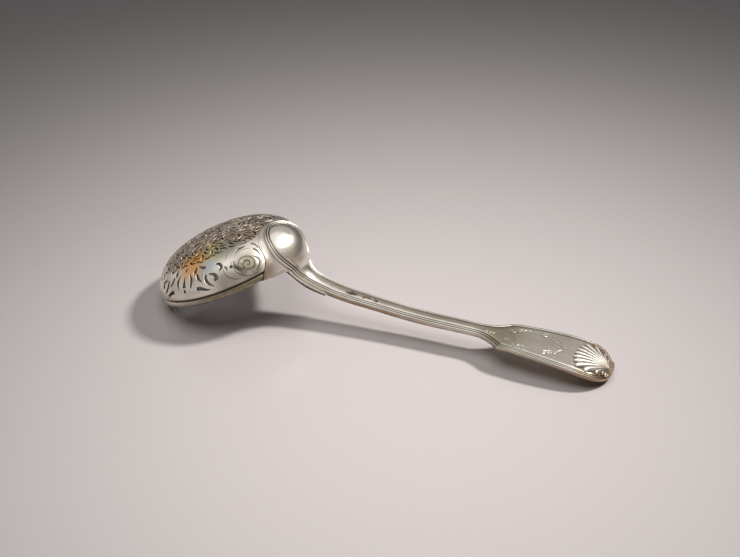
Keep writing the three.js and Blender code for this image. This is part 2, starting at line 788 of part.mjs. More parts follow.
// A shell: flutes that fan out from a focus near the tip, over one face of the handle
function makeShell(outline, reach, relief, heightOf) {
  const focus = faceLength - shellFocus;
  const fan = 230 * degrees;
  const stepsPerFlute = 4;
  const steps = shellFlutes * stepsPerFlute;
  const rows = [0.12, 0.35, 0.6, 0.85, 1];
  const limit = inset(outline, shellMargin);
  const inside = (station, y) => station < faceLength - shellMargin && Math.abs(y) < widthAt(limit, station);
  const reachAt = (turn, scallop) => {
    const wanted = reach - scallopDepth * scallop;
    const step = 0.1;
    let distance = 0.5;
    while (distance < wanted) {
      const next = distance + step;
      if (!inside(focus - next * Math.cos(turn), next * Math.sin(turn))) break;
      distance = next;
    }
    return distance;
  };
  const points = [];
  const triangles = [];
  const lower = [];
  const upper = [];
  for (let i = 0; i <= steps; i++) {
    const turn = (i / steps - 0.5) * fan;
    const phase = (i % stepsPerFlute) / stepsPerFlute;
    const valley = Math.abs(Math.cos(phase * Math.PI));
    const far = reachAt(turn, valley);
    const line = { lower: [], upper: [] };
    for (const row of rows) {
      const station = focus - far * row * Math.cos(turn);
      const y = far * row * Math.sin(turn);
      const swell = row === 1 ? 0.35 : 1;
      const height = relief * swell - fluteDepth * valley * Math.min(1, row * 1.6);
      const place = placer(station);
      points.push(place(y, heightOf(station, y, 0)), place(y, heightOf(station, y, height)));
      line.lower.push(points.length - 2);
      line.upper.push(points.length - 1);
    }
    lower.push(line.lower);
    upper.push(line.upper);
  }
  const hub = placer(focus);
  points.push(hub(0, heightOf(focus, 0, 0)), hub(0, heightOf(focus, 0, relief)));
  const hubLower = points.length - 2;
  const hubUpper = points.length - 1;
  const outerRow = rows.length - 1;
  for (let i = 0; i < steps; i++) {
    triangles.push([hubUpper, upper[i][0], upper[i + 1][0]], [hubLower, lower[i + 1][0], lower[i][0]]);
    for (let k = 0; k < outerRow; k++) {
      triangles.push([upper[i][k], upper[i][k + 1], upper[i + 1][k + 1]]);
      triangles.push([upper[i][k], upper[i + 1][k + 1], upper[i + 1][k]]);
      triangles.push([lower[i][k], lower[i + 1][k + 1], lower[i][k + 1]]);
      triangles.push([lower[i][k], lower[i + 1][k], lower[i + 1][k + 1]]);
    }
    triangles.push([upper[i][outerRow], lower[i][outerRow], lower[i + 1][outerRow]]);
    triangles.push([upper[i][outerRow], lower[i + 1][outerRow], upper[i + 1][outerRow]]);
  }
  for (const [end, flip] of [[0, false], [steps, true]]) {
    const top = [hubUpper, ...upper[end]];
    const bottom = [hubLower, ...lower[end]];
    for (let k = 0; k < top.length - 1; k++) {
      const quad = [[top[k], bottom[k], bottom[k + 1]], [top[k], bottom[k + 1], top[k + 1]]];
      triangles.push(...quad.map(([a, b, c]) => (flip ? [a, c, b] : [a, b, c])));
    }
  }
  return welded(geometryFrom(points, triangles));
}

function silver(colour, roughness) {
  return new THREE.MeshStandardMaterial({ color: colour, roughness, metalness: 1 });
}

function piece(name, geometry, material) {
  const mesh = new THREE.Mesh(geometry, material);
  mesh.name = name;
  return mesh;
}

const outline = handleOutline();
const topShell = (station, y, height) => jointGap + height - faceFall(station, y);
const underShell = (station, y, height) => -(handleDepth(outline, station, y) + jointGap + height);

const shells = [
  piece('shell_back', makeShell(outline, shellReach, shellRelief, topShell), silver(0xc9bfae, 0.3)),
  piece(
    'shell_front',
    makeShell(outline, underShellReach, underShellRelief, underShell),
    silver(0xb2a894, 0.34),
  ),
];

const tiltedBowl = new THREE.Group();
tiltedBowl.position.copy(bowlCentre);
tiltedBowl.rotation.y = -bowlTilt;
tiltedBowl.add(
  piece('bowl', makeBowl(), silver(0x8d867a, 0.38)),
  piece('rim_band', makeRimBand(), silver(0xb9b2a3, 0.28)),
);

const spoon = new THREE.Group();
spoon.add(
  tiltedBowl,
  piece('neck_saddle', makeSaddle(outline), silver(0xb5ad9c, 0.3)),
  piece('handle', makeHandle(outline), silver(0xa9a192, 0.32)),
  ...shells,
);

// The origin is on the table, in the middle of the spoon's footprint
const footprint = new THREE.Box3().setFromObject(spoon, true);
spoon.position.x = -(footprint.min.x + footprint.max.x) / 2;

const sifterSpoon = new THREE.Group();
sifterSpoon.add(spoon);

export default sifterSpoon;
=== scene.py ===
"""Looks of a silver sifter spoon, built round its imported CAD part.

The shapes are worked out in millimetres in the part's own frame and become metres where a mesh is made.
The bowl points to -X, the handle's tip to +X, +Z is up and the spoon is symmetric about Y = 0.
A station is a length along the middle of the handle's face, from its start high on the dome.
"""

import math
import random

import bmesh
import bpy
import numpy as np
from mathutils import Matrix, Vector, kdtree
from mathutils.geometry import delaunay_2d_cdt


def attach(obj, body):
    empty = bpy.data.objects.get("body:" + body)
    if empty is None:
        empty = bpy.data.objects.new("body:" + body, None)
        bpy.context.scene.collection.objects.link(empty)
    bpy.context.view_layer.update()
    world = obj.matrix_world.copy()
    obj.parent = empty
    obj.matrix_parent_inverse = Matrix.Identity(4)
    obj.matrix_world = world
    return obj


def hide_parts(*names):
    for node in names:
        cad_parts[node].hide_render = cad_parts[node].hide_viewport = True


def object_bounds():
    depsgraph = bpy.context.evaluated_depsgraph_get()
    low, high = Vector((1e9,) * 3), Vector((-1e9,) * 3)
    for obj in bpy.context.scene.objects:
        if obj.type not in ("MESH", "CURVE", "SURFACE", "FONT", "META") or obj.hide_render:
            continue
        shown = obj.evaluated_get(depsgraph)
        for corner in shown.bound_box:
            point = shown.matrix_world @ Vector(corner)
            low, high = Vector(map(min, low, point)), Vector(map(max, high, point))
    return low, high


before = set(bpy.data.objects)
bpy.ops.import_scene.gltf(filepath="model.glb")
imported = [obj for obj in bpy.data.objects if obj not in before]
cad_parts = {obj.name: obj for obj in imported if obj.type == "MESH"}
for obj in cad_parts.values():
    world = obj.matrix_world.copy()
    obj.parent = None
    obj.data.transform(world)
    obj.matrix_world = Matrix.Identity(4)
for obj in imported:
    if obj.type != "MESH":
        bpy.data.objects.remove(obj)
cad_low, cad_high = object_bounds()

MM = 0.001
SHARP_ANGLE = math.radians(38)  # edges that turn more than this stay sharp
TINY = 1e-9

# Whole spoon, as in the CAD part
OVERALL_LENGTH = 210.0
BOWL_TILT = math.radians(23.7)
WEAR_DEPTH = 0.15

# Bowl
LIP_RADIUS = 35.0
LIP_CHAMFER = 0.5
BAND_HEIGHT = 3.4
BAND_WIDTH = 2.0
BAND_SWELL = 0.95
DOME_HEIGHT = 16.8
DOME_CROWN = 1.93
DOME_SHOULDER = 2.67
JOINT_LINE = 0.9  # dark groove between the wall and the lip band
PROFILE_STEPS = 2400
NORMAL_STEP = 0.15  # how far to each side the profile is read for its normal

# Handle
DROP_REACH = math.radians(51)
DROP_START = 2.0
DROP_RISE = 13.5
DROP_HALF_WIDTH = 13.5
DROP_CROWN = 2.1
NECK_TAPER = 21.0
NECK_HALF_WIDTH = 5.2
WAIST_HALF_WIDTH = 4.6
WAIST_TAPER = 26.0
SHOULDER_START = 60.5  # distances from the tip
SHOULDER_END = 48.5
SHOULDER_HALF_WIDTH = 10.1
BLADE_WIDEST = 14.0
BLADE_HALF_WIDTH = 13.4
TIP_SQUARENESS = 2.3
STEM_ROUNDING = 0.7
BLADE_ROUNDING = 0.4
STEM_CROWN = 0.25
NECK_PLATE = 1.0
SADDLE_PLATE = 0.7
CAD_GAP = 0.3
STANDOFF = NECK_PLATE + SADDLE_PLATE + 2 * CAD_GAP
STEM_THICKNESS = 3.3
STEM_EDGE = 2.3
STEM_THINNING = 30.0  # how far before the shoulder the stem starts to thin
BLADE_THICKNESS = 2.4
BLADE_EDGE = 1.9
TIP_THICKNESS = 3.3
# The face line as (x, z): from the lip, then by distance from the tip and height over the table
NECK_LINE = [(0.9, -2.1), (1.5, -4.4), (2.9, -6.5), (5.3, -8.4), (9.3, -10.1)]
STEM_LINE = [(125, 16), (108, 13.8), (88, 12), (65, 11.4)]
BLADE_LINE = [(47, 10.7), (32, 10.2), (20, 9.2), (12, 7.9), (6, 5.9), (0, 2.6)]
FACE_STEPS = 120  # points of the curve between two of those
CLIMB_STEPS = 6  # points of the line over the dome
DEPTH_LIMIT = LIP_RADIUS * 0.6  # the bowl is met before this depth under the face
DEPTH_HALVINGS = 26
INSET_SHARE = 0.985  # a line moved inwards keeps this share of the distance where it hasn't crossed itself

# Section of the thread moulding: distance in from the outline, and height with the crests at 0
THREADS = [
    (0.0, -1.0), (0.03, -0.72), (0.1, -0.45), (0.22, -0.2), (0.36, -0.05), (0.5, 0.0),
    (0.66, -0.08), (0.78, -0.26), (0.86, -0.46),
    (1.12, -0.46), (1.22, -0.26), (1.36, -0.08), (1.56, 0.0),
    (1.76, -0.08), (1.9, -0.26), (2.0, -0.46),
    (2.28, -0.46), (2.4, -0.26), (2.6, -0.1),
]
FIELD_MARGIN, FIELD_LEVEL = THREADS[-1]
FIRST_THREAD = 0.7  # dirt lies from here inwards
FLANK_SHADE_REACH = 0.3  # brown tarnish and painted shade lie on the flank from the outline to here
UNDERSIDE = [(0.0, 0.6), (0.2, 0.15), (0.7, 0.0)]  # distance in from the outline, height over the underside
FIELD_GRID = 1.0  # spacing of the points that carry the field's curve
MARK_DEPTH = 0.16
ENGRAVING = 0.16  # depth of the lines on the blade

# Saddle
SADDLE_WRAP = math.radians(37.3)
SADDLE_FLARE = LIP_RADIUS * math.sin(SADDLE_WRAP)
SADDLE_SHOULDER = 11.3
SADDLE_ROUND = 5.0
SADDLE_FILLET = 7.0
SADDLE_LENGTH = 20.5
SADDLE_LIP = 0.35
SADDLE_MARGIN = 0.2
# Section of its border: share of the way out, share of the way down, and dirt
SADDLE_BORDER = [
    (0, 0, 0.85),
    (0.06, 0.3, 0),
    (0.14, 0.5, 0),
    (0.3, 0.72, 0),
    (0.5, 0.86, 0),
    (0.75, 0.95, 0),
    (0.93, 1.0, 0),
    (1.0, 1.08, 0.95),
]

# Shells
SHELL_FLUTES = 15
SHELL_FAN = math.radians(166)
SHELL_FOCUS = 2.5
SHELL_REACH = 16.0
SHELL_RELIEF = 0.95
SHELL_BORDER = 3.3  # what the flutes leave free along the handle's edge
SHELL_MARGIN = 0.35  # what the fine lines leave free at the tip
SHELL_SEAT = 0.1  # height over the threads' crests from which its relief is measured
SHELL_BASE = -0.1  # its underside, on the scale of its relief
SHELL_SHARES = (0.04, 0.1, 0.18, 0.28, 0.4, 0.52, 0.64, 0.75, 0.84, 0.9, 0.94, 0.97, 0.99, 1.0)
SHELL_HUB = 0.4  # share of its relief at its focus
SHELL_CROWN_REACH = 6.0  # the shell has risen to its height this far from its focus
SHELL_SHOULDER = 0.84  # share of the reach from which it rounds down
SHELL_EDGE = 0.08  # its least height
SHELL_TAN = (5.5, 3.0)  # tarnish round the focus: its reach, and the length over which it fades
FLUTE_DEPTH = 0.55
RIB_SHARE = 0.62  # share of a flute that its rib takes up
FLUTE_CURL = 0.3  # how much the ends of the side flutes curl back, in radians
CURL_SHARE = 0.6  # share of the reach from which they do
CURL_TURN = 0.6  # direction, in radians, from which they do
TIP_LINES = 20
HINGE_HALF_WIDTH = 6.0
UNDER_SHELL_REACH = 12.0
UNDER_SHELL_RELIEF = 0.65
UNDER_SHELL_MARGIN = 1.6

# Piercings of the bowl
SHEET = 0.9  # thickness of the pierced silver
CHAMFER = 0.11  # softened edge of each piercing
DARK_EDGE = 0.12  # painted shade, over some tarnish, darkens each piercing's wall from this far below it
GROOVE = 0.22  # depth of the engraved lines
PALMETTES = (-97.2, 180, 97.2)
SCROLL_TURN = math.radians(51)
AROUND = 420  # points round the foot
FOOT_START = 0.25
LACE_WIDTH = 0.98
LACE_SIZES = (4.0, 3.0, 2.1, 1.4)  # longest first, then shorter ones between them
LACE_WEB = 0.4  # silver left between two piercings
LACE_STEP = 1.05
LACE_LEANS = (20, 50, -35, 75)
LACE_TRIES = 3
GRID = 1.2  # spacing of the points that carry the bowl's curve

# The fitted camera: it looks at TARGET, measured from the lip's contact with the table
CAMERA_AZIMUTH = 22.65  # degrees
CAMERA_ELEVATION = 29.6
CAMERA_DISTANCE = 650.0
CAMERA_TARGET = (82.8, 39.1, 0.0)
PHOTO_WIDTH = 740
PIXELS_PER_MM = 2.10
SENSOR = 36.0

# A pool of light is painted into the table's colour: palest at a spot measured from the camera's target, to
# the right and away, in millimetres
PAINTED_POOL_CENTRE = (3.0, -115.0)
PAINTED_POOL_REACH = (274.0, 330.0)
TABLE_IN_PAINTED_POOL = (0.72, 0.66, 0.65)
TABLE_PAINTED_DARK = (0.012, 0.012, 0.013)
TABLE_HALF = 3.0  # metres

# What the metal sees of the room, and the even light that the rest gets from it
ROOM_WALL = (0.60, 0.575, 0.55)
ROOM_TOP = (0.52, 0.51, 0.50)
ROOM_DIM = (0.16, 0.155, 0.15)
ROOM_SIDE = (0.86, 0.85, 0.83)
ROOM_WHITE = (1.0, 1.0, 0.98)
ROOM_LIGHT = (0.9, 0.88, 0.86)
ROOM_STRENGTH = 0.022
DIM_SIDE = (85, 0)  # the dark end of the room, as azimuth and elevation in degrees
BRIGHT_SIDE = (12, 52)

# Lamps: directions from the spoon, lengths in metres
KEY_DIRECTION = (0.456, 0.5, 0.735)
OVERHEAD_DIRECTION = (-0.12, -0.1, 1.0)
SOFTBOX_SIDE = (28, 58)  # azimuth and elevation in degrees
LAMP_DISTANCE = 1.6
OVERHEAD_DISTANCE = 1.5
LAMP_WHITE = (1.0, 1.0, 1.0)
KEY_WHITE = (1.0, 0.98, 0.96)

# Colours of the metal; some of them also serve as painted shade
DIRT_AND_SHADE_TINT = (0.04, 0.027, 0.018)
FILM = (0.42, 0.36, 0.27)
TARNISH_AND_SHADE_BROWN = (0.36, 0.26, 0.18)
BROWN_PAINTED_SHADE = (0.20, 0.16, 0.10)
PATINA_AND_PAINTED_SHADE = (0.27, 0.23, 0.16)
GREY_FILM = (0.34, 0.325, 0.28)
OLIVE = (0.36, 0.31, 0.20)
AMBER = (0.85, 0.40, 0.10)
STRAW = (0.72, 0.60, 0.18)
SKY = (0.55, 0.66, 0.80)

# Noise on the metal: cells per metre, detail, roughness, distortion
BROAD_NOISE = (60, 2, 0.5, 0.5)
BLOTCH_NOISE = (210, 4, 0.55, 0.6)

random.seed(7)

# The part's frame has its origin in the middle of the footprint; the bowl's own frame leans
contact_x = cad_high[0] / MM - OVERALL_LENGTH
tip_x = contact_x + OVERALL_LENGTH
contact_radius = LIP_RADIUS - LIP_CHAMFER
bowl_centre = np.array([
    contact_x + contact_radius * math.cos(BOWL_TILT),
    0.0,
    contact_radius * math.sin(BOWL_TILT) - WEAR_DEPTH,
])
bowl_along = np.array([math.cos(BOWL_TILT), 0.0, math.sin(BOWL_TILT)])
bowl_across = np.array([0.0, 1.0, 0.0])
bowl_axis = np.array([-math.sin(BOWL_TILT), 0.0, math.cos(BOWL_TILT)])


def from_bowl(local):
    """Points in the bowl's frame as points in the part's frame."""
    local = np.asarray(local, float)
    along_and_across = local[..., :1] * bowl_along + local[..., 1:2] * bowl_across
    return bowl_centre + along_and_across + local[..., 2:] * bowl_axis


def into_bowl(points):
    """Points in the part's frame as points in the bowl's frame."""
    offset = np.asarray(points, float) - bowl_centre
    return np.stack([offset @ bowl_along, offset @ bowl_across, offset @ bowl_axis], -1)


def round_bowl(turn, radius, height):
    """Points round the bowl's axis."""
    turn, radius, height = np.broadcast_arrays(turn, radius, height)
    return from_bowl(np.stack([radius * np.cos(turn), radius * np.sin(turn), height], -1))


def unit(vectors):
    """The vectors at a length of 1."""
    lengths = np.linalg.norm(vectors, axis=-1, keepdims=True)
    return vectors / np.maximum(lengths, TINY)


def left_of(vectors):
    """Flat vectors, turned a quarter to the left."""
    return np.stack([-vectors[..., 1], vectors[..., 0]], -1)


def headings(loop):
    """Which way a closed loop runs at each of its points."""
    ahead = unit(np.roll(loop, -1, 0) - loop)
    behind = unit(loop - np.roll(loop, 1, 0))
    return unit(ahead + behind)


# The bowl's outer profile, tabled by its length from the lip band
def dome_radius(rise):
    """Outer radius at a share of the dome's height."""
    return LIP_RADIUS * np.clip(1 - rise**DOME_CROWN, 0, 1) ** (1 / DOME_SHOULDER)


profile_angles = np.linspace(0, math.pi / 2, PROFILE_STEPS)
profile_radius = dome_radius(np.sin(profile_angles))
profile_height = BAND_HEIGHT + DOME_HEIGHT * np.sin(profile_angles)
profile_steps = np.hypot(np.diff(profile_radius), np.diff(profile_height))
profile_length = np.concatenate([[0], np.cumsum(profile_steps)])
APEX = profile_length[-1]


def profile_point(length):
    """Radius and height of the profile at a length from the lip band."""
    return [np.interp(length, profile_length, values) for values in (profile_radius, profile_height)]


def profile_at(length):
    """Radius, height and outward normal of the profile at a length from the lip band."""
    length = np.clip(length, 0, APEX)
    ahead = np.clip(length + NORMAL_STEP, 0, APEX)
    behind = np.clip(length - NORMAL_STEP, 0, APEX)
    radius_ahead, height_ahead = profile_point(ahead)
    radius_behind, height_behind = profile_point(behind)
    run = ahead - behind
    outward = (height_ahead - height_behind) / run
    upward = (radius_behind - radius_ahead) / run
    return (*profile_point(length), outward, upward)


def on_bowl(turn, length, offset):
    """Points on the bowl's outside, or off it by a distance along the normal."""
    radius, height, outward, upward = profile_at(length)
    return round_bowl(turn, radius + outward * offset, height + upward * offset)


# The handle's face line: over the dome, down past the lip and out to the tip
def catmull_rom(points, steps):
    """A centripetal Catmull-Rom curve through the points."""
    points = np.asarray(points, float)
    points = np.vstack([2 * points[0] - points[1], points, 2 * points[-1] - points[-2]])
    out = []
    for i in range(1, len(points) - 2):
        p0, p1, p2, p3 = points[i - 1 : i + 3]
        d0, d1, d2 = (np.linalg.norm(b - a) ** 0.5 for a, b in ((p0, p1), (p1, p2), (p2, p3)))
        start = ((p1 - p0) / d0 - (p2 - p0) / (d0 + d1) + (p2 - p1) / d1) * d1
        end = ((p2 - p1) / d1 - (p3 - p1) / (d1 + d2) + (p3 - p2) / d2) * d1
        t = np.linspace(0, 1, steps, endpoint=False)[:, None]
        cubic = 2 * p1 - 2 * p2 + start + end
        square = -3 * p1 + 3 * p2 - 2 * start - end
        out.append(p1 + start * t + square * t**2 + cubic * t**3)
    return np.vstack(out + [points[-2:-1]])


def face_points(lip):
    """Points that the face line runs through: down the dome, past the lip and out to the tip."""
    angles = DROP_REACH * (1 - np.arange(CLIMB_STEPS + 1) / CLIMB_STEPS)
    points = list(on_bowl(0.0, np.interp(angles, profile_angles, profile_length), STANDOFF))
    points.append(lip)
    points += [lip + np.array([x, 0, z]) for x, z in NECK_LINE]
    points += [np.array([tip_x - x, 0, z]) for x, z in STEM_LINE + BLADE_LINE]
    return points


lip_point = from_bowl([LIP_RADIUS + STANDOFF, 0, 0])
face_curve = catmull_rom(face_points(lip_point), FACE_STEPS)
face_steps = np.linalg.norm(np.diff(face_curve, axis=0), axis=1)
face_station = np.concatenate([[0], np.cumsum(face_steps)])
FACE_LENGTH = face_station[-1]
face_tangent = unit(np.gradient(face_curve, face_station, axis=0))
below_lip = (face_curve[:, 2] <= lip_point[2]) & (face_curve[:, 0] > lip_point[0] - 1)
lip_station = float(face_station[np.argmax(below_lip)])


def station_at(distance_from_tip):
    """Station on the face line at a distance along X from the tip."""
    past = face_station > lip_station
    return float(np.interp(tip_x - distance_from_tip, face_curve[past, 0], face_station[past]))


shoulder_station = station_at(SHOULDER_START)
corner_station = station_at(SHOULDER_END)
widest_station = station_at(BLADE_WIDEST)
drop_middle = DROP_START + DROP_RISE
stem_station = drop_middle + NECK_TAPER
notch_station = lip_station + SADDLE_LENGTH
focus_station = FACE_LENGTH - SHELL_FOCUS


def place(station, across, height):
    """Points at stations, distances across and heights over the face line."""
    station = np.asarray(station, float)
    inside = np.clip(station, 0, FACE_LENGTH)
    point = np.stack([np.interp(inside, face_station, face_curve[:, k]) for k in range(3)], -1)
    tangent = unit(np.stack([np.interp(inside, face_station, face_tangent[:, k]) for k in range(3)], -1))
    normal = np.stack([-tangent[..., 2], np.zeros_like(station), tangent[..., 0]], -1)
    result = point + tangent * (station - inside)[..., None] + normal * np.asarray(height, float)[..., None]
    result[..., 1] = across
    return result


def along(station, *stops):
    """A value that changes smoothly between stations given as (station, value)."""
    value = np.full(np.shape(station), float(stops[0][1]))
    for (start, before), (end, after) in zip(stops, stops[1:]):
        share = np.clip((station - start) / (end - start), 0, 1)
        value = value + (after - before) * share * share * (3 - 2 * share)
    return value


def depth_to_bowl(station, across):
    """Depth under the face line, square to it, at which the bowl's outside is met."""
    near = np.full(np.shape(station), -STANDOFF)
    far = np.full(np.shape(station), DEPTH_LIMIT)
    for _ in range(DEPTH_HALVINGS):
        middle = (near + far) / 2
        local = into_bowl(place(station, across, -middle))
        rise = np.clip((local[..., 2] - BAND_HEIGHT) / DOME_HEIGHT, 0, 1)
        outside = np.hypot(local[..., 0], local[..., 1]) > dome_radius(rise)
        near = np.where(outside, middle, near)
        far = np.where(outside, far, middle)
    return near


def face_fall(station, across):
    """How far the face falls away from its middle line at a distance across."""
    station, across = np.broadcast_arrays(station, across)
    wrap = along(station, (lip_station, 1), (stem_station - 4, 0))
    edge = along(
        station,
        (lip_station, 0),
        (stem_station, STEM_ROUNDING / NECK_HALF_WIDTH**2),
        (shoulder_station, STEM_ROUNDING / WAIST_HALF_WIDTH**2),
        (corner_station + 6, BLADE_ROUNDING / BLADE_HALF_WIDTH**2),
    )
    wrapped = wrap * (depth_to_bowl(station, across) - depth_to_bowl(station, np.zeros_like(across)))
    return np.where(wrap > 0, wrapped, 0) + edge * across**2


# Half outlines, as (station, half width)
def stretch(start, end, spacing, first_width, last_width, blend):
    """Part of a half outline; blend turns the share of the way into the share of the change."""
    share = np.linspace(0, 1, int((end - start) / spacing))[1:]
    width = first_width + (last_width - first_width) * blend(share)
    return np.stack([start + (end - start) * share, width], -1)


def eased(share):
    """Starts and ends gently."""
    return (1 - np.cos(np.pi * share)) / 2


def levelled(share):
    """Ends gently."""
    return np.sin(share * math.pi / 2)


def waisted(share):
    """The stem keeps its width as far as the notch, then narrows evenly."""
    before_notch = notch_station - stem_station
    return np.clip((share * (shoulder_station - stem_station) - before_notch) / WAIST_TAPER, 0, 1)


def handle_outline(spacing):
    """Half outline of the handle, from the drop's round end to the tip."""
    turn = np.linspace(0, math.pi / 2, int(DROP_RISE * 1.6 / spacing))
    drop = np.stack([DROP_START + DROP_RISE * (1 - np.cos(turn)), DROP_HALF_WIDTH * np.sin(turn)], -1)
    turn = np.linspace(0, math.pi / 2, int(BLADE_WIDEST * 1.7 / spacing))[1:]
    power = 2 / TIP_SQUARENESS
    tip_station = widest_station + (FACE_LENGTH - widest_station) * np.sin(turn) ** power
    tip_width = BLADE_HALF_WIDTH * np.clip(np.cos(turn), 0, 1) ** power
    stretches = [
        (drop_middle, stem_station, spacing, DROP_HALF_WIDTH, NECK_HALF_WIDTH, eased),
        (stem_station, shoulder_station, 2 * spacing, NECK_HALF_WIDTH, WAIST_HALF_WIDTH, waisted),
        (shoulder_station, corner_station, spacing, WAIST_HALF_WIDTH, SHOULDER_HALF_WIDTH, np.square),
        (corner_station, widest_station, 1.5 * spacing, SHOULDER_HALF_WIDTH, BLADE_HALF_WIDTH, levelled),
    ]
    middle = [stretch(*row) for row in stretches]
    outline = np.vstack([drop, *middle, np.stack([tip_station, tip_width], -1)])
    outline[[0, -1], 1] = 0
    return outline


spoon_outline = handle_outline(0.5)
coarse_outline = handle_outline(2.0)


def width_at(station, outline=spoon_outline):
    """Half width of an outline at a station."""
    return np.interp(station, outline[:, 0], outline[:, 1], left=0, right=0)


def whole(half):
    """The closed outline of a half outline: near side first, then back along the far side."""
    near = half * [1, -1]
    return np.vstack([near, half[-2:0:-1]])


def inset(half, distance):
    """The half outline moved inwards; where the lines cross, the points close up on the crossing."""
    if distance == 0:
        return half.copy()
    loop = whole(half)
    moved = (loop + left_of(headings(loop)) * distance)[: len(half)]
    gap = np.linalg.norm(moved[:, None] - loop[None], axis=2).min(1)
    good = gap > distance * INSET_SHARE
    good[[0, -1]] = True
    order = np.arange(len(half))
    result = np.stack([np.interp(order, order[good], moved[good, k]) for k in range(2)], -1)
    result[:, 1] *= -1
    result[[0, -1], 1] = 0
    return result


# Meshes
def turn_outwards(mesh):
    """Turns every face of a closed mesh outwards."""
    work = bmesh.new()
    work.from_mesh(mesh)
    bmesh.ops.recalc_face_normals(work, faces=work.faces)
    work.to_mesh(mesh)
    work.free()


class Builder:
    """Gathers points, faces and two marks of each point: how dark it is from dirt and painted shade, and
    how browned its silver is by tarnish and, on the handle's flank, by painted shade.
    """

    def __init__(self):
        self.points = []
        self.marks = {"dirt_and_shade": [], "tarnish_and_shade": []}
        self.faces = []
        self.count = 0

    def add(self, points, dirt_and_shade=0.0, tarnish_and_shade=0.0):
        """Adds points and hands back their ids."""
        start = self.count
        self.points.append(points)
        self.marks["dirt_and_shade"].append(np.broadcast_to(dirt_and_shade, len(points)))
        self.marks["tarnish_and_shade"].append(np.broadcast_to(tarnish_and_shade, len(points)))
        self.count += len(points)
        return np.arange(start, self.count)

    def lay(self, flat, height, dirt_and_shade=0.0, tarnish_and_shade=0.0):
        """Adds points given as (station, across), at heights over the face line."""
        return self.add(place(*flat.T, height), dirt_and_shade, tarnish_and_shade)

    def bridge(self, *rings):
        """Quads between closed rings of points, from each to the next."""
        for first, second in zip(rings, rings[1:]):
            for i in range(len(first)):
                j = (i + 1) % len(first)
                self.faces.append((first[i], first[j], second[j], second[i]))

    def piece(self, name, node, material):
        """The finished piece, smooth-shaded, which stands for a CAD node and rests on the table."""
        points = np.vstack(self.points)
        points[:, 2] = np.maximum(points[:, 2], 0.0)
        mesh = bpy.data.meshes.new(name)
        mesh.from_pydata((points * MM).tolist(), [], [tuple(map(int, face)) for face in self.faces])
        for mark, values in self.marks.items():
            layer = mesh.attributes.new(mark, "FLOAT", "POINT")
            layer.data.foreach_set("value", np.concatenate(values).astype(np.float32))
        mesh.validate()
        turn_outwards(mesh)
        mesh.polygons.foreach_set("use_smooth", [True] * len(mesh.polygons))
        mesh.set_sharp_from_angle(angle=SHARP_ANGLE)
        mesh.materials.append(material)
        obj = bpy.data.objects.new(name, mesh)
        bpy.context.scene.collection.objects.link(obj)
        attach(obj, "root")
        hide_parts(node)


def fill_across(build, half, loop, height, flip, tarnish_and_shade=0.0, strips=10):
    """Fills a closed loop with strips that run across it; height takes (station, across)."""
    last = len(half) - 1
    shares = np.linspace(-1, 1, strips + 1)[1:-1]
    rows = [[loop[0]] * (strips + 1)]
    for i in range(1, last):
        flat = np.stack([np.full(len(shares), half[i, 0]), half[i, 1] * shares], -1)
        middle = build.lay(flat, height(*flat.T), 0.0, tarnish_and_shade)
        rows.append([loop[i], *middle, loop[len(loop) - i]])
    rows.append([loop[last]] * (strips + 1))
    for first, second in zip(rows, rows[1:]):
        for j in range(strips):
            face = list(dict.fromkeys((first[j], first[j + 1], second[j + 1], second[j])))
            if len(face) > 2:
                build.faces.append(tuple(face[::-1] if flip else face))


class Sheet:
    """A flat sheet with marked areas and engraved lines, whose edges become edges of its triangles."""

    def __init__(self):
        self.points = []
        self.edges = []
        self.areas = []
        self.depth = {}

    def add(self, points, closed=True):
        """Adds a line of points and hands back their ids."""
        start = len(self.points)
        self.points += [tuple(p) for p in points]
        ids = list(range(start, len(self.points)))
        self.edges += zip(ids, ids[1:])
        if closed:
            self.edges.append((ids[-1], ids[0]))
        return ids

    def area(self, points):
        """Adds the outline of an area."""
        ids = self.add(points)
        self.areas.append(ids)
        return ids

    def groove(self, line, width, depth):
        """A V-shaped line: its two edges lie on the sheet and its middle is sunk."""
        line = np.asarray(line, float)
        taper = np.sin(np.linspace(0.12, math.pi - 0.12, len(line)))
        across = left_of(unit(np.gradient(line, axis=0))) * (width / 2 * taper**0.5)[:, None]
        self.add(line + across, closed=False)
        self.add(line - across, closed=False)
        for index in self.add(line, closed=False):
            self.depth[index] = depth

    def scatter(self, points, clearance):
        """Adds points that carry the curve, away from every point already there."""
        tree = kdtree.KDTree(len(self.points))
        for i, (x, y) in enumerate(self.points):
            tree.insert((x, y, 0), i)
        tree.balance()
        self.points += [(x, y) for x, y in points if tree.find((x, y, 0))[2] > clearance]

    def triangulate(self, inside):
        """Points, triangles in or out of the areas, depth by point, and the new id of each old point."""
        coordinates = [Vector(p) for p in self.points]
        out, _, faces, vertex_sources, _, face_sources = delaunay_2d_cdt(
            coordinates, self.edges, self.areas, 0, 1e-5
        )
        new_id = np.zeros(len(self.points), int)
        depth = np.zeros(len(out))
        for i, sources in enumerate(vertex_sources):
            for old in sources:
                new_id[old] = i
                depth[i] = max(depth[i], self.depth.get(old, 0))
        kept = [f for f, sources in zip(faces, face_sources) if bool(sources) == inside]
        return np.array([tuple(p) for p in out]), kept, depth, new_id


# Outlines of the piercings, in millimetres round the bowl and up its wall
WALL_RADIUS = float(profile_at(7.0)[0])  # radius of the wall at the frieze

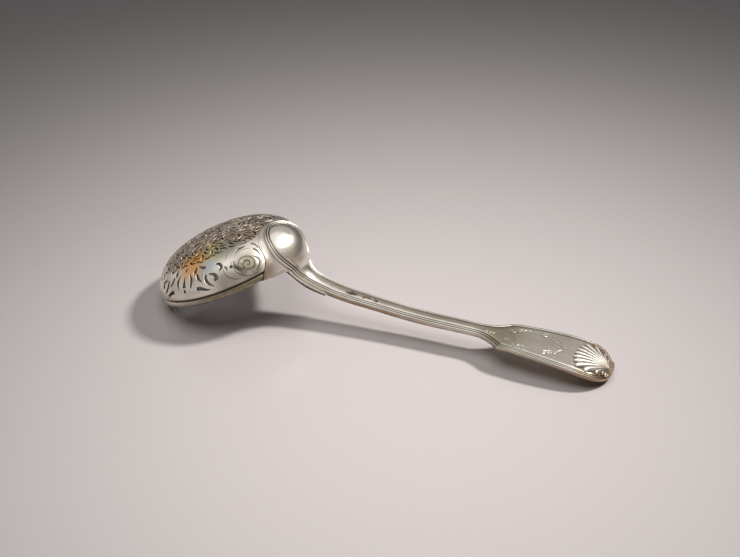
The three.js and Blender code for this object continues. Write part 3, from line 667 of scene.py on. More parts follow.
# Half of a palmette, as line and widths; the other half mirrors it
PALMETTE = [
    ([(3.0, 11.8), (4.3, 8.4), (3.6, 5.2)], (0.4, 1.5, 0.6)),
    ([(5.7, 10.6), (6.4, 12.2), (6.8, 14.4)], (0.4, 1.9, 0.9)),
    ([(8.5, 14.8), (10.5, 13.4), (12.4, 13.0)], (0.4, 1.1, 1.5)),
    ([(7.5, 10.7), (8.2, 8.5), (9.8, 6.6)], (1.2, 1.5, 0.3)),
    ([(12.1, 9.3), (11.9, 6.9), (13.0, 4.8), (14.8, 3.1)], (1.1, 1.5, 1.2, 0.3)),
    ([(13.9, 9.4), (16.2, 8.2), (16.9, 6.4), (15.7, 5.6)], (0.4, 1.5, 1.8, 1.1)),
    ([(6.7, 4.2), (8.6, 3.9), (10.8, 2.8), (12.8, 2.4)], (1.6, 1.6, 1.1, 0.3)),
]
PALMETTE_MIDDLE = [
    ([(0, 11.2), (0, 8.6), (0, 5.8)], (0.3, 1.0, 2.0)),
    ([(0, 4.9), (0, 4.1), (0, 3.4)], (0.7, 1.4, 0.7)),
    ([(-0.2, 13.1), (0.1, 14.1), (0.6, 15.2)], (1.1, 1.2, 0.4)),
]
# A leaf that stands between a palmette and its neighbour, from the palmette's middle
SIDE_LEAF = [
    ([(18.2, 12.9), (19.9, 12.3), (20.4, 10.6), (19.0, 9.0)], (0.5, 1.4, 1.6, 0.4)),
    ([(21.9, 10.0), (22.4, 8.9), (22.2, 7.6)], (0.3, 0.9, 0.3)),
]
# The scroll beside the saddle, from its own middle, and round holes by turn and length
SCROLL = [
    ([(0.3, 10.6), (0.0, 7.9), (1.2, 6.1), (3.0, 5.2)], (0.4, 1.5, 1.8, 0.4)),
    ([(3.2, 14.4), (5.8, 15.4), (9.6, 15.2)], (0.3, 0.95, 0.4)),
    ([(8.0, 17.8), (11.4, 17.2), (14.3, 17.4)], (0.3, 1.0, 0.4)),
    ([(13.4, 14.6), (14.4, 13.2), (14.2, 10.6)], (0.9, 0.6, 0.3)),
    ([(12.0, 11.6), (12.6, 9.8), (12.6, 7.4)], (1.0, 0.6, 0.3)),
]
DOTS = [(math.radians(54.2), 8.6), (math.radians(138.6), 8.2)]
DOT_DIAMETER = 1.5

# Engraved lines of the scroll and of half a palmette, with their widths
SCROLL_LINES = [
    ([(-0.9, 11.2), (-1.3, 8.0), (0.0, 4.2), (3.1, 1.7), (6.4, 1.0), (9.6, 2.2)], 0.5),
    ([(9.4, 8.6), (10.6, 6.2), (9.7, 3.6), (7.6, 2.2)], 0.8),
    ([(1.6, 12.6), (4.6, 14.0), (8.6, 13.8), (11.6, 12.2)], 0.34),
    ([(-3.0, 13.0), (0.2, 16.6), (4.0, 17.4)], 0.3),
    ([(-5.6, 9.4), (-5.2, 5.8), (-3.0, 3.2), (-0.4, 2.0)], 0.34),
]
PALMETTE_LINES = [
    ([(5.4, 9.4), (6.0, 7.2), (5.4, 5.0)], 0.22),
    ([(10.6, 11.4), (10.0, 9.2), (10.4, 7.6)], 0.24),
]
SPIRAL_MIDDLE = (5.4, 6.6)
SPIRAL_REACH = 4.6
SPIRAL_WIDTH = 0.62
SPIRAL_POINTS = 30
SPIRAL_START = 215  # degrees
SPIRAL_TURN = 24  # degrees from point to point
SPIRAL_SHRINK = 0.145  # how much nearer to the middle each point is

# Where the lace begins, by the turn from the handle in degrees
LACE_EDGE = [
    (0, 15), (34, 16.6), (50, 18.8), (66, 17.6), (80, 16), (97, 16),
    (112, 13.4), (126, 11.8), (140, 14.2), (158, 13.4), (180, 16),
]


def spline(line, steps):
    """A smooth curve through the points of a flat line."""
    return catmull_rom(np.array([(x, y, 0) for x, y in line], float), steps)[:, :2]


def stroke(line, widths, steps=5):
    """A leaf-like stroke along a line, with a width at each of its points."""
    centre = spline(line, steps)
    share = np.linspace(0, len(widths) - 1, len(centre))
    half = np.interp(share, range(len(widths)), widths) / 2
    across = left_of(unit(np.gradient(centre, axis=0))) * half[:, None]
    return np.vstack([centre + across, (centre - across)[::-1]])


def oval(turns, half_length, half_width):
    """Points of an oval round the origin."""
    return np.stack([half_length * np.cos(turns), half_width * np.sin(turns)], -1)


def disc(diameter, points=10):
    """A round outline."""
    return oval(np.linspace(0, 2 * math.pi, points, endpoint=False), 1, 1) * diameter / 2


def flip(line, side):
    """The line, mirrored where the side is -1."""
    return [(x * side, y) for x, y in line]


def to_flat(turn, length):
    """The bowl laid flat: turns stay, and the distance from the middle is the length to the top."""
    reach = APEX - np.asarray(length, float)
    return oval(turn, reach, reach)


def from_flat(points):
    """Turn and length of places on the flat sheet."""
    return np.arctan2(points[..., 1], points[..., 0]), APEX - np.hypot(points[..., 0], points[..., 1])


def on_wall(turn, points):
    """Millimetres round the bowl and up its wall, laid flat."""
    return to_flat(turn + points[..., 0] / WALL_RADIUS, points[..., 1])


def cut_out(turn, side, shapes):
    """Strokes of the frieze, laid flat."""
    return [on_wall(turn, stroke(flip(line, side), widths)) for line, widths in shapes]


def frieze():
    """The larger piercings round the wall."""
    found = []
    for angle in PALMETTES:
        turn = math.radians(angle)
        found += cut_out(turn, 1, PALMETTE_MIDDLE)
        for side in (-1, 1):
            found += cut_out(turn, side, PALMETTE + SIDE_LEAF)
    for side in (-1, 1):
        found += cut_out(side * SCROLL_TURN, -side, SCROLL)
        found += [on_wall(side * turn, disc(DOT_DIAMETER) + [0, length]) for turn, length in DOTS]
    return found


def spiral():
    """The scroll's engraved spiral, which winds inwards."""
    x, y = SPIRAL_MIDDLE
    line = []
    for i in range(SPIRAL_POINTS):
        angle = math.radians(SPIRAL_START - i * SPIRAL_TURN)
        reach = SPIRAL_REACH - i * SPIRAL_SHRINK
        line.append((x + reach * math.cos(angle), y + reach * math.sin(angle)))
    return line


def engraved_lines():
    """Engraved lines of the bowl, laid flat, as (line, width)."""
    scroll = [(spiral(), SPIRAL_WIDTH), *SCROLL_LINES]
    groups = [(side * SCROLL_TURN, -side, scroll) for side in (-1, 1)]
    groups += [(math.radians(angle), side, PALMETTE_LINES) for angle in PALMETTES for side in (-1, 1)]
    lines = []
    for turn, side, shapes in groups:
        lines += [(on_wall(turn, spline(flip(line, side), 6)), width) for line, width in shapes]
    return lines


class Spread:
    """A fine grid over the flat sheet that marks what is taken, so that outlines stay apart."""

    STEP = 0.12

    def __init__(self, apart):
        self.apart = apart
        self.half = int((APEX + 3) / self.STEP)
        self.taken = np.zeros((2 * self.half, 2 * self.half), bool)
        ticks = (np.arange(2 * self.half) - self.half) * self.STEP
        self.places = np.stack(np.meshgrid(ticks, ticks, indexing="ij"), -1)

    def cells(self, points):
        """Cells in which the points lie."""
        return (np.round(points / self.STEP).astype(int) + self.half).T

    def claim(self, outline):
        """Takes every cell close to an outline."""
        low = self.cells(outline.min(0) - self.apart)
        high = self.cells(outline.max(0) + self.apart) + 1
        box = (slice(low[0], high[0]), slice(low[1], high[1]))
        away = self.places[box][:, :, None] - outline
        self.taken[box] |= (away**2).sum(-1).min(-1) < self.apart**2

    def clear(self, outline):
        """True where an outline keeps clear of what is taken."""
        return not self.taken[tuple(self.cells(outline))].any()


def saddle_edge(station, outline=spoon_outline):
    """Half width of the saddle at a station."""
    rise = np.minimum(station / (DROP_START + SADDLE_ROUND), 1)
    slope = (SADDLE_FLARE - SADDLE_SHOULDER) / lip_station
    over_bowl = SADDLE_SHOULDER * np.sqrt(np.clip(1 - (1 - rise) ** 2, 0, 1)) + slope * station
    fillet = np.clip(1 - (station - lip_station) / SADDLE_FILLET, 0, 1) ** 3.5
    flare = (SADDLE_FLARE - width_at(lip_station, outline)) * fillet
    below = width_at(station, outline) + SADDLE_MARGIN + flare
    return np.where(station <= lip_station, over_bowl, below)


def under_saddle(turns, lengths, margin):
    """True where the saddle covers the wall, or comes nearer to the place than the margin."""
    stations = np.linspace(0, lip_station, 40)
    across = saddle_edge(stations, coarse_outline) + margin
    local = into_bowl(place(stations - margin, across, -depth_to_bowl(stations, across)))
    edge_turn = np.arctan2(local[:, 1], local[:, 0])
    edge_length = np.interp(np.hypot(local[:, 0], local[:, 1]), profile_radius[::-1], profile_length[::-1])
    order = np.argsort(edge_length)
    limit = np.interp(lengths, edge_length[order], edge_turn[order], right=0)
    return np.abs(turns) < limit


def lace_edge(turn):
    """Length up the wall at which the lace begins."""
    return np.interp(np.abs(np.degrees(turn)), *zip(*LACE_EDGE))


def curl(length, lean):
    """A comma: a bowed stroke with a broad head and a pointed tail."""
    bow = length * random.choice((-0.2, 0.2))
    line = [(-length / 2, -bow * 0.5), (0, bow * 0.5), (length / 2, -bow * 0.5)]
    outline = stroke(line, (LACE_WIDTH * 0.8, LACE_WIDTH, LACE_WIDTH * 0.25), 3)
    c, s = math.cos(lean), math.sin(lean)
    return outline @ np.array([[c, s], [-s, c]])


def lace(taken):
    """Small curled piercings set close together over the dome, each as large as its place allows."""
    spread = Spread(LACE_WEB)
    turns, lengths = from_flat(spread.places)
    spread.taken |= (lengths < lace_edge(turns)) | under_saddle(turns, lengths, 1.0)
    for outline in taken:
        spread.claim(outline)
    found = []
    outermost = APEX - min(length for _, length in LACE_EDGE)
    for size in LACE_SIZES:
        for reach in np.arange(outermost, 0.8, -LACE_STEP):
            count = max(4, round(2 * math.pi * reach / LACE_STEP))
            for i in range(count):
                turn = (i + random.uniform(-0.25, 0.25)) / count * 2 * math.pi
                site = to_flat(turn, APEX - reach + random.uniform(-0.3, 0.3))
                lean = turn + math.radians(random.choice(LACE_LEANS))
                if not spread.clear(site[None]):
                    continue
                for attempt in range(LACE_TRIES):
                    outline = curl(size, lean + attempt) + site
                    if spread.clear(outline):
                        spread.claim(outline)
                        found.append(outline)
                        break
    return found


def grow(outline, distance):
    """The outline, run round to the left, and the same moved outwards."""
    following = np.roll(outline, -1, 0)
    area = 0.5 * np.sum(outline[:, 0] * following[:, 1] - following[:, 0] * outline[:, 1])
    if area < 0:
        outline = outline[::-1]
    return outline, outline - left_of(headings(outline)) * distance


# Materials
class Nodes:
    """Adds nodes to a node tree. A value is a number, a colour, a vector or another node's output."""

    def __init__(self, tree):
        self.tree = tree
        tree.nodes.clear()

    def feed(self, node, inputs):
        """Sets or links the inputs of a node, given by name or number."""
        for key, value in inputs.items():
            socket = node.inputs[key]
            if isinstance(value, bpy.types.NodeSocket):
                self.tree.links.new(value, socket)
            elif socket.type == "RGBA":
                socket.default_value = (*value, 1)
            else:
                socket.default_value = value

    def add(self, kind, inputs=None, **settings):
        """The outputs of a new node."""
        node = self.tree.nodes.new("ShaderNode" + kind)
        for name, value in settings.items():
            setattr(node, name, value)
        self.feed(node, inputs or {})
        return node.outputs

    def maths(self, operation, *values):
        return self.add("Math", dict(enumerate(values)), operation=operation)[0]

    def times(self, first, second):
        return self.maths("MULTIPLY", first, second)

    def mix(self, share, first, second):
        """A colour between two others."""
        return self.add("Mix", {0: share, 6: first, 7: second}, data_type="RGBA")[2]

    def vector(self, operation, first, second):
        """The one number that two vectors give."""
        return self.add("VectorMath", {0: first, 1: second}, operation=operation)["Value"]

    def ramp(self, value, low, high):
        """Maps a value from low..high to 0..1, clamped and smooth."""
        inputs = {"Value": value, "From Min": low, "From Max": high}
        return self.add("MapRange", inputs, interpolation_type="SMOOTHSTEP")["Result"]

    def noise(self, vector, scale, detail, roughness, distortion):
        inputs = {"Vector": vector, "Scale": scale, "Detail": detail}
        return self.add("TexNoise", {**inputs, "Roughness": roughness, "Distortion": distortion})["Fac"]

    def mark(self, name):
        """The value of a mark that the mesh carries."""
        return self.add("Attribute", attribute_name=name)["Fac"]

    def near(self, vector, centre, radius, softness):
        """1 close to a place in the part's frame and 0 away from it; lengths in millimetres."""
        away = self.vector("DISTANCE", vector, tuple(c * MM for c in centre))
        return self.ramp(away, (radius + softness) * MM, (radius - softness) * MM)

    def towards(self, vector, direction, low, high):
        """1 where a vector points in a direction, falling to 0 away from it; the limits are cosines."""
        return self.ramp(self.vector("DOT_PRODUCT", vector, direction), low, high)

    def bell(self, vector, centre, reach, turn):
        """1 at a place on the floor, falling to 0 in a bell shape; lengths in millimetres."""
        shifted = self.add("Mapping", {
            "Vector": vector,
            "Location": (centre[0] * MM, centre[1] * MM, 0),
            "Rotation": (0, 0, turn),
            "Scale": (reach[0] * MM, reach[1] * MM, 1),
        }, vector_type="TEXTURE")[0]
        return self.maths("EXPONENT", self.times(self.vector("DOT_PRODUCT", shifted, shifted), -1.0))


def surface(name):
    """A new material, its nodes, and the place on the object; finish it with dress."""
    material = bpy.data.materials.new(name)
    material.use_nodes = True
    nodes = Nodes(material.node_tree)
    return material, nodes, nodes.add("TexCoord")["Object"]


def dress(nodes, inputs):
    """Gives a material its shader."""
    nodes.add("OutputMaterial", {0: nodes.add("BsdfPrincipled", inputs)[0]})


def silver(name, colour, roughness, age, patches=()):
    """Old hand-polished silver: filmed over in places, browned where marked by tarnish and by painted shade
    on the handle's flank, and darkened where marked by dirt in its creases and by painted shade inside the
    bowl.

    A patch is the place of its middle, its radius and softness in millimetres, its tint and its strength.
    """
    material, nodes, spot = surface(name)
    broad = nodes.noise(spot, *BROAD_NOISE)
    blotch = nodes.noise(spot, *BLOTCH_NOISE)
    film = nodes.times(nodes.ramp(broad, 0.36, 0.7), age)
    tone = nodes.mix(film, colour, FILM)
    browned = nodes.times(nodes.mark("tarnish_and_shade"), nodes.ramp(blotch, -0.1, 0.52))
    tone = nodes.mix(browned, tone, TARNISH_AND_SHADE_BROWN)
    for centre, radius, softness, tint, strength in patches:
        broken = nodes.times(nodes.near(spot, centre, radius, softness), nodes.ramp(blotch, 0.1, 0.5))
        tone = nodes.mix(nodes.times(broken, strength), tone, tint)
    # dirt in creases and painted shade inside the bowl darken the colour
    dark = nodes.times(nodes.mark("dirt_and_shade"), 0.96)
    worn = nodes.maths("ADD", nodes.times(nodes.ramp(blotch, 0.3, 0.75), 0.1), roughness)
    worn = nodes.maths("ADD", worn, nodes.times(dark, 0.3))
    worn = nodes.maths("ADD", worn, nodes.times(browned, 0.12))
    dress(nodes, {
        "Base Color": nodes.mix(dark, tone, DIRT_AND_SHADE_TINT),
        "Metallic": 1.0,
        "Roughness": worn,
        "Normal": nodes.add("Bump", {"Strength": 0.5, "Distance": 0.00005, "Height": blotch})["Normal"],
    })
    return material


# Bowl
foot_turns = np.linspace(-math.pi, math.pi, AROUND, endpoint=False)


def pierced_sheet():
    """The bowl's flat sheet, the ids of its border, and each hole as (ids of its edge, cut outline)."""
    sheet = Sheet()
    border = sheet.add(to_flat(foot_turns, np.full(AROUND, FOOT_START)))
    holes = []
    frieze_cuts = frieze()
    for outline in frieze_cuts + lace(frieze_cuts):
        cut, grown = grow(outline, CHAMFER)
        holes.append((sheet.area(grown), cut))
    for line, width in engraved_lines():
        sheet.groove(line, width, GROOVE)
    carriers = []
    for length in np.arange(FOOT_START + GRID * 0.6, APEX - 0.6, GRID * 0.8):
        count = max(8, round(2 * math.pi * float(profile_at(length)[0]) / GRID))
        row = (np.arange(count) + 0.37 * (int(length / GRID) % 3)) / count * 2 * math.pi
        carriers += list(to_flat(row, np.full(count, length)))
    sheet.scatter(carriers, 0.4)
    return sheet, border, holes


def bowl_foot(build):
    """Rings of points from the wall's outside down behind the lip band and in to its inside."""
    top, bottom = BAND_HEIGHT, BAND_HEIGHT - JOINT_LINE
    outside, inside = LIP_RADIUS - JOINT_LINE * 0.5, LIP_RADIUS - SHEET - 0.2
    section = ((outside, top), (outside, bottom), (inside, bottom))
    return [build.add(round_bowl(foot_turns, *corner), 1.0) for corner in section]


def make_bowl(material):
    """The pierced cup: an outer and an inner face, the walls of its piercings, and its foot."""
    sheet, border, holes = pierced_sheet()
    flat, triangles, depth, new_id = sheet.triangulate(inside=False)
    turn, length = from_flat(flat)
    flat_inside = flat.copy()
    for ids, cut in holes:
        flat_inside[new_id[ids]] = cut
    joint_dirt = np.exp(-((length / 0.5) ** 2)) * 0.55
    dirt = np.clip(depth / GROOVE, 0, 1) + joint_dirt
    among_lace = np.clip((length - lace_edge(turn)) / 1.5, 0, 1)
    build = Builder()
    outer = build.add(on_bowl(turn, length, -depth), dirt, among_lace * 0.9)
    # Painted shade over some tarnish: the bowl's inner face is darkened.
    inner = build.add(on_bowl(*from_flat(flat_inside), -SHEET), 0.85)
    for a, b, c in triangles:
        build.faces.append((outer[a], outer[b], outer[c]))
        build.faces.append((inner[c], inner[b], inner[a]))
    for ids, cut in holes:
        ring = new_id[ids[::-1]]
        # Painted shade: the walls of the piercings darken towards the inside.
        edge = build.add(on_bowl(*from_flat(cut), -CHAMFER), 0.1)[::-1]
        deep = build.add(on_bowl(*from_flat(cut), -CHAMFER - DARK_EDGE), 1.0)[::-1]
        build.bridge(outer[ring], edge, deep, inner[ring])
    build.bridge(outer[new_id[border]], *bowl_foot(build), inner[new_id[border]])
    build.piece("pierced_bowl", "bowl", material)


# Lip band
def make_band(material):
    """The moulded ring at the lip, as a section that runs round: radius, height and dirt."""
    top = BAND_HEIGHT - JOINT_LINE * 0.7
    ledge = LIP_RADIUS - JOINT_LINE
    inner = LIP_RADIUS - BAND_WIDTH
    roll = np.linspace(math.radians(72), math.radians(-72), 9)
    rise = (top / 2 - 0.06) / math.sin(roll[0])
    roll_dirt = [0.35, *[0.0] * 7, 0.1]
    section = [
        (inner, 0.25, 0.2),
        (inner, BAND_HEIGHT - 0.4, 0.2),
        (ledge - 0.4, BAND_HEIGHT - 0.4, 0.8),
        (ledge - 0.2, top - 0.05, 1.0),
    ]
    for angle, dirt in zip(roll, roll_dirt):
        radius = LIP_RADIUS - BAND_SWELL * (1 - math.cos(angle))
        section.append((radius, top / 2 + rise * math.sin(angle), dirt))
    section += [(LIP_RADIUS - BAND_SWELL, 0.0, 0.05), (inner + 0.25, 0.0, 0.1)]
    turns = np.linspace(-math.pi, math.pi, 300, endpoint=False)
    build = Builder()
    rings = [build.add(round_bowl(turns, radius, height), dirt) for radius, height, dirt in section]
    build.bridge(*rings, rings[0])
    build.piece("lip_band", "rim_band", material)


# Handle
def handle_depth(station, across):
    """Depth of the handle's underside below the face line."""
    thinning = shoulder_station - STEM_THINNING
    middle = along(
        station,
        (thinning, STEM_THICKNESS),
        (corner_station, BLADE_THICKNESS),
        (widest_station, BLADE_THICKNESS),
        (FACE_LENGTH, TIP_THICKNESS),
    )
    edge = along(station, (thinning, STEM_EDGE), (corner_station, BLADE_EDGE))
    width = np.maximum(width_at(station), NECK_HALF_WIDTH / 2)
    share = np.minimum(1, np.abs(across) / width)
    stem = middle + (edge + face_fall(station, width) - middle) * share**2
    return np.where(station < notch_station, face_fall(station, across) + NECK_PLATE, stem)


def swell(station, across):
    """Crown of the field between the threads."""
    crown = along(station, (drop_middle, DROP_CROWN), (stem_station, STEM_CROWN), (corner_station, 0))
    inner = np.maximum(width_at(np.maximum(station, drop_middle)) - FIELD_MARGIN, 0.2)
    towards_end = np.maximum(0, drop_middle - station) / (DROP_RISE - FIELD_MARGIN)
    return crown * np.clip(1 - (across / inner) ** 2 - towards_end**2, 0, 1)


def leaf(root, heading, side, length):
    """A short bowed leaf that leaves a stalk to one side, as a line."""
    angle = heading + side * random.uniform(0.35, 0.9)
    ahead = np.array([math.cos(angle), math.sin(angle)])
    aside = left_of(ahead) * side
    return [root, root + ahead * length * 0.55 + aside * 0.22 * length, root + ahead * length]


# The blade's engraving, as a distance from the tip or millimetres round that place
WREATH_PLACE = (35.0, -0.5)
WREATH_HALF = (12.2, 7.0)
OVAL_HALF = (8.8, 4.4)
SPRAYS = [(24, 78), (156, 100), (204, 262), (336, 290)]  # first and last angle of each stalk
LEAF_CHANCE = 0.72
LEAF_LENGTHS = (1.0, 2.4)
LEAF_WIDTHS = (0.25, 0.55)
KNOT = [
    ([(1.2, 0.8), (-0.6, 2.6), (-1.2, 4.8)], 0.4),
    ([(-1.4, -3.2), (0.6, 0), (2.0, 2.8)], 0.26),
]  # half of the knot at the foot of the wreath, as line and width
STAR_PLACE = (53.6, -1.4)
STAR_SHIFTS = (-1.8, 0.0, 1.5)


def wreath():
    """Engraving of the blade: worn leafy sprays round a blank oval, as (line, width)."""
    middle = np.array([station_at(WREATH_PLACE[0]), WREATH_PLACE[1]])
    lines = []
    for start, end in SPRAYS:
        stalk = middle + oval(np.radians(np.linspace(start, end, 7)), *WREATH_HALF)
        lines.append((stalk, 0.2))
        for here, ahead in zip(stalk, stalk[1:]):
            step = ahead - here
            heading = math.atan2(step[1], step[0])
            for side in (-1, 1):
                if random.random() < LEAF_CHANCE:
                    line = leaf(here, heading, side, random.uniform(*LEAF_LENGTHS))
                    lines.append((line, random.uniform(*LEAF_WIDTHS)))
    lines.append((middle + oval(np.linspace(0.5, 2 * math.pi + 0.2, 19), *OVAL_HALF), 0.16))
    knot = middle + [WREATH_HALF[0], 0]
    for side in (-1, 1):
        lines += [(knot + np.array(line) * [1, side], width) for line, width in KNOT]
    star = np.array([station_at(STAR_PLACE[0]), STAR_PLACE[1]])
    for shift in STAR_SHIFTS:
        lines.append((star + [[shift - 0.4, -0.3], [shift, 0.1], [shift + 0.4, 0.2]], 0.5))
    return lines


# Small wordless marks on the stem: distance from the tip, line and width
PUNCH_MARKS = [
    (119.3, [(0, -1.1), (0.9, 0), (0, 1.1), (-0.9, 0), (0, -1.1)], 0.4),
    (119.3, [(-2.4, 0.1), (-1.8, -0.3), (-1.2, 0.1)], 0.55),
    (119.3, [(1.4, 0.5), (1.9, 0.1), (2.3, 0.6)], 0.5),
    (112.1, [(-1.5, -0.5), (-0.9, 0.4), (0.4, 0.7), (1.5, 0.3)], 0.4),
    (107.8, [(-0.7, 0.5), (0.1, 0.6), (0.6, 0), (0.1, -0.6)], 0.6),
]
MARK_SHIFT = -1.0  # the marks sit a little to the near side

# How brown the flank is, as tarnish and painted shade where it faces down towards its shadow: most from the
# notch on, and less along the blade
FLANK_TARNISH_AND_SHADE = [
    (notch_station - 2, 0.2),
    (notch_station + 1, 1.0),
    (station_at(98), 1.0),
    (station_at(80), 0.6),
    (corner_station, 0.6),
    (FACE_LENGTH - 8, 1.0),
]

# How tanned the field is: most along the stem
FIELD_TAN = [
    (stem_station - 6, 0),
    (stem_station + 10, 0.6),
    (shoulder_station, 0.6),
    (corner_station, 0.2),
]


def make_threads(build, rings):
    """Loops of points over the threads, from the outline inwards."""
    loops = []
    for (distance, relief), half in zip(THREADS, rings):
        loop = whole(half)
        rise = swell(*loop.T) if distance == FIELD_MARGIN else 0
        between = FIRST_THREAD < distance < FIELD_MARGIN
        dirt = np.clip((-relief - 0.1) / 0.3, 0, 1) if between else 0.0
        # Painted shade with some tarnish: the flank below the threads is browned.
        on_flank = np.interp(-relief, (0.2, 0.5), (0.0, 1.0)) if distance < FLANK_SHADE_REACH else 0.0
        tarnish_and_shade = along(loop[:, 0], *FLANK_TARNISH_AND_SHADE) * on_flank
        loops.append(build.lay(loop, relief + rise - face_fall(*loop.T), dirt, tarnish_and_shade))
    build.bridge(*loops)
    return loops


def field_sheet(half):
    """The flat field inside the threads, the ids of its border, and those of the marks on the stem."""
    sheet = Sheet()
    field = whole(half)
    border = sheet.area(field)
    for line, width in wreath():
        sheet.groove(spline(line, 4), width, ENGRAVING * random.uniform(0.5, 1.0))
    first_mark = len(sheet.points)
    for distance, shape, width in PUNCH_MARKS:
        line = [(station_at(distance) + x, y + MARK_SHIFT) for x, y in shape]
        sheet.groove(spline(line, 4), width, MARK_DEPTH)
    marks = np.arange(first_mark, len(sheet.points))
    carriers = []
    for station in np.arange(field[:, 0].min() + 0.6, field[:, 0].max() - 0.4, FIELD_GRID):
        width = float(width_at(station, half))
        count = max(3, int(2 * width / FIELD_GRID))
        carriers += [(station, y) for y in np.linspace(-width, width, count + 2)[1:-1]]
    sheet.scatter(carriers, 0.35)
    return sheet, border, marks


def make_field(build, half, border_ids):
    """The field inside the threads, with its engraving and marks."""
    sheet, border, marks = field_sheet(half)
    flat, triangles, depth, new_id = sheet.triangulate(inside=True)
    height = swell(*flat.T) - face_fall(*flat.T) + FIELD_LEVEL - depth
    dirt = np.clip(depth / ENGRAVING, 0, 1) * 0.25
    dirt[new_id[marks]] = 0.88
    ids = build.lay(flat, height, dirt, along(flat[:, 0], *FIELD_TAN))
    ids[new_id[border]] = border_ids
    build.faces += [ids[list(triangle)] for triangle in triangles]


def make_underside(build, upper):
    """The flank below the threads, turned under, and the underside."""
    for distance, lift in UNDERSIDE:
        half = inset(spoon_outline, distance)
        loop = whole(half)
        height = lift - handle_depth(*loop.T)
        # the turned-under flank carries the same browning, painted shade with some tarnish
        lower = build.lay(loop, height, 0.1, along(loop[:, 0], *FLANK_TARNISH_AND_SHADE))
        build.bridge(lower, upper)
        upper = lower
    fill_across(build, half, upper, lambda s, y: -handle_depth(s, y), flip=True, tarnish_and_shade=0.4)


def make_handle(material):
    """The forging: threads, field and underside."""
    build = Builder()
    rings = [inset(spoon_outline, distance) for distance, _ in THREADS]
    loops = make_threads(build, rings)
    make_field(build, rings[-1], loops[-1])
    make_underside(build, loops[0])
    build.piece("handle_forging", "handle", material)


# Saddle
BORDER_DEPTHS = [
    (lip_station + 1, STANDOFF - SADDLE_LIP),
    (lip_station + 12, 2.3),
    (notch_station, 2.0),
]
BOTTOM_DEPTHS = [
    (lip_station + 1, STANDOFF + BAND_WIDTH),
    (lip_station + 5, 2.9),
    (lip_station + 12, 3.3),
    (notch_station, 2.7),
]


def saddle_depth(station, across, raised, depths):
    """Depth of the saddle: raised a little over the wall, and at depths given by station below the lip."""
    on_wall = depth_to_bowl(station, across) - raised
    below = face_fall(station, across) + along(station, *depths)
    return np.where(station <= lip_station, on_wall, below)


def saddle_top(station, across):
    """Height of the saddle's face under the handle."""
    return -(face_fall(station, across) + NECK_PLATE + 0.02)


def saddle_bottom(station, across):
    """Height of the saddle's underside."""
    return -saddle_depth(station, across, 0.03, BOTTOM_DEPTHS)


def saddle_outlines():
    """Inner and outer half outline of the saddle, point by point."""
    end = notch_station - CAD_GAP
    close = lip_station + np.array([-0.01, 0.01, 0.2, 0.4, 0.6, 0.9, 1.2])
    inner = spoon_outline[spoon_outline[:, 0] < end - 0.3]
    inner = np.vstack([inner, np.stack([close, width_at(close)], -1)])
    inner = inner[np.argsort(inner[:, 0])]
    inner[0, 1] = 0
    inner = np.vstack([inner, [[end, width_at(end)], [end, 0]]])
    share = np.clip((inner[:, 0] - DROP_START) / DROP_RISE, 0, 1)
    station = inner[:, 0] - DROP_START * (1 - share)
    outer = np.stack([station, saddle_edge(station)], -1)
    outer[[0, -1], 1] = 0
    return inner, outer


def make_saddle(material):
    """The flared root between the handle and the bowl's wall."""
    inner, outer = saddle_outlines()
    build = Builder()
    loops = []
    for share_out, share_down, dirt in SADDLE_BORDER:
        loop = whole(inner + (outer - inner) * share_out)
        upper = saddle_top(*loop.T)
        lower = -saddle_depth(*loop.T, SADDLE_LIP, BORDER_DEPTHS)
        loops.append(build.lay(loop, upper + (lower - upper) * share_down, dirt))
    loop = whole(outer)
    loops.append(build.lay(loop, saddle_bottom(*loop.T), 1.0))
    build.bridge(*loops[::-1])
    fill_across(build, inner, loops[0], saddle_top, flip=False)
    fill_across(build, outer, loops[-1], saddle_bottom, flip=True)
    build.piece("flared_saddle", "neck_saddle", material)


# Shells
def shell_turns():
    """Directions round the shell's focus, where each lies between two valleys, and which are flutes."""
    rib = np.array([0, 0.14, 0.2, 0.26, 0.34, 0.42, 0.5, 0.58, 0.66, 0.74, 0.8, 0.86])
    line = np.linspace(0, 1, 6, endpoint=False)
    fluted = (np.arange(SHELL_FLUTES)[:, None] + rib).ravel() / SHELL_FLUTES
    lined = (np.arange(TIP_LINES)[:, None] + line).ravel() / TIP_LINES
    turns = np.concatenate([
        SHELL_FAN * (fluted - 0.5),
        SHELL_FAN / 2 + (2 * math.pi - SHELL_FAN) * lined,
    ])
    phase = np.concatenate([np.tile(rib, SHELL_FLUTES), np.tile(line, TIP_LINES)])
    in_fan = np.arange(len(turns)) < len(fluted)
    return turns, np.abs(2 * phase - 1), in_fan


def longest(directions, reach, fits):
    """How far a line can run from the shell's focus in each direction while every place on it fits."""
    tries = np.arange(0.3, reach, 0.05)
    station = focus_station - tries[:, None] * np.cos(directions)
    across = np.abs(tries[:, None] * np.sin(directions))
    ok = fits(station, across)
    stop = np.where(ok.all(0), len(tries), np.argmin(ok, 0))
    return tries[np.clip(stop - 1, 0, None)]


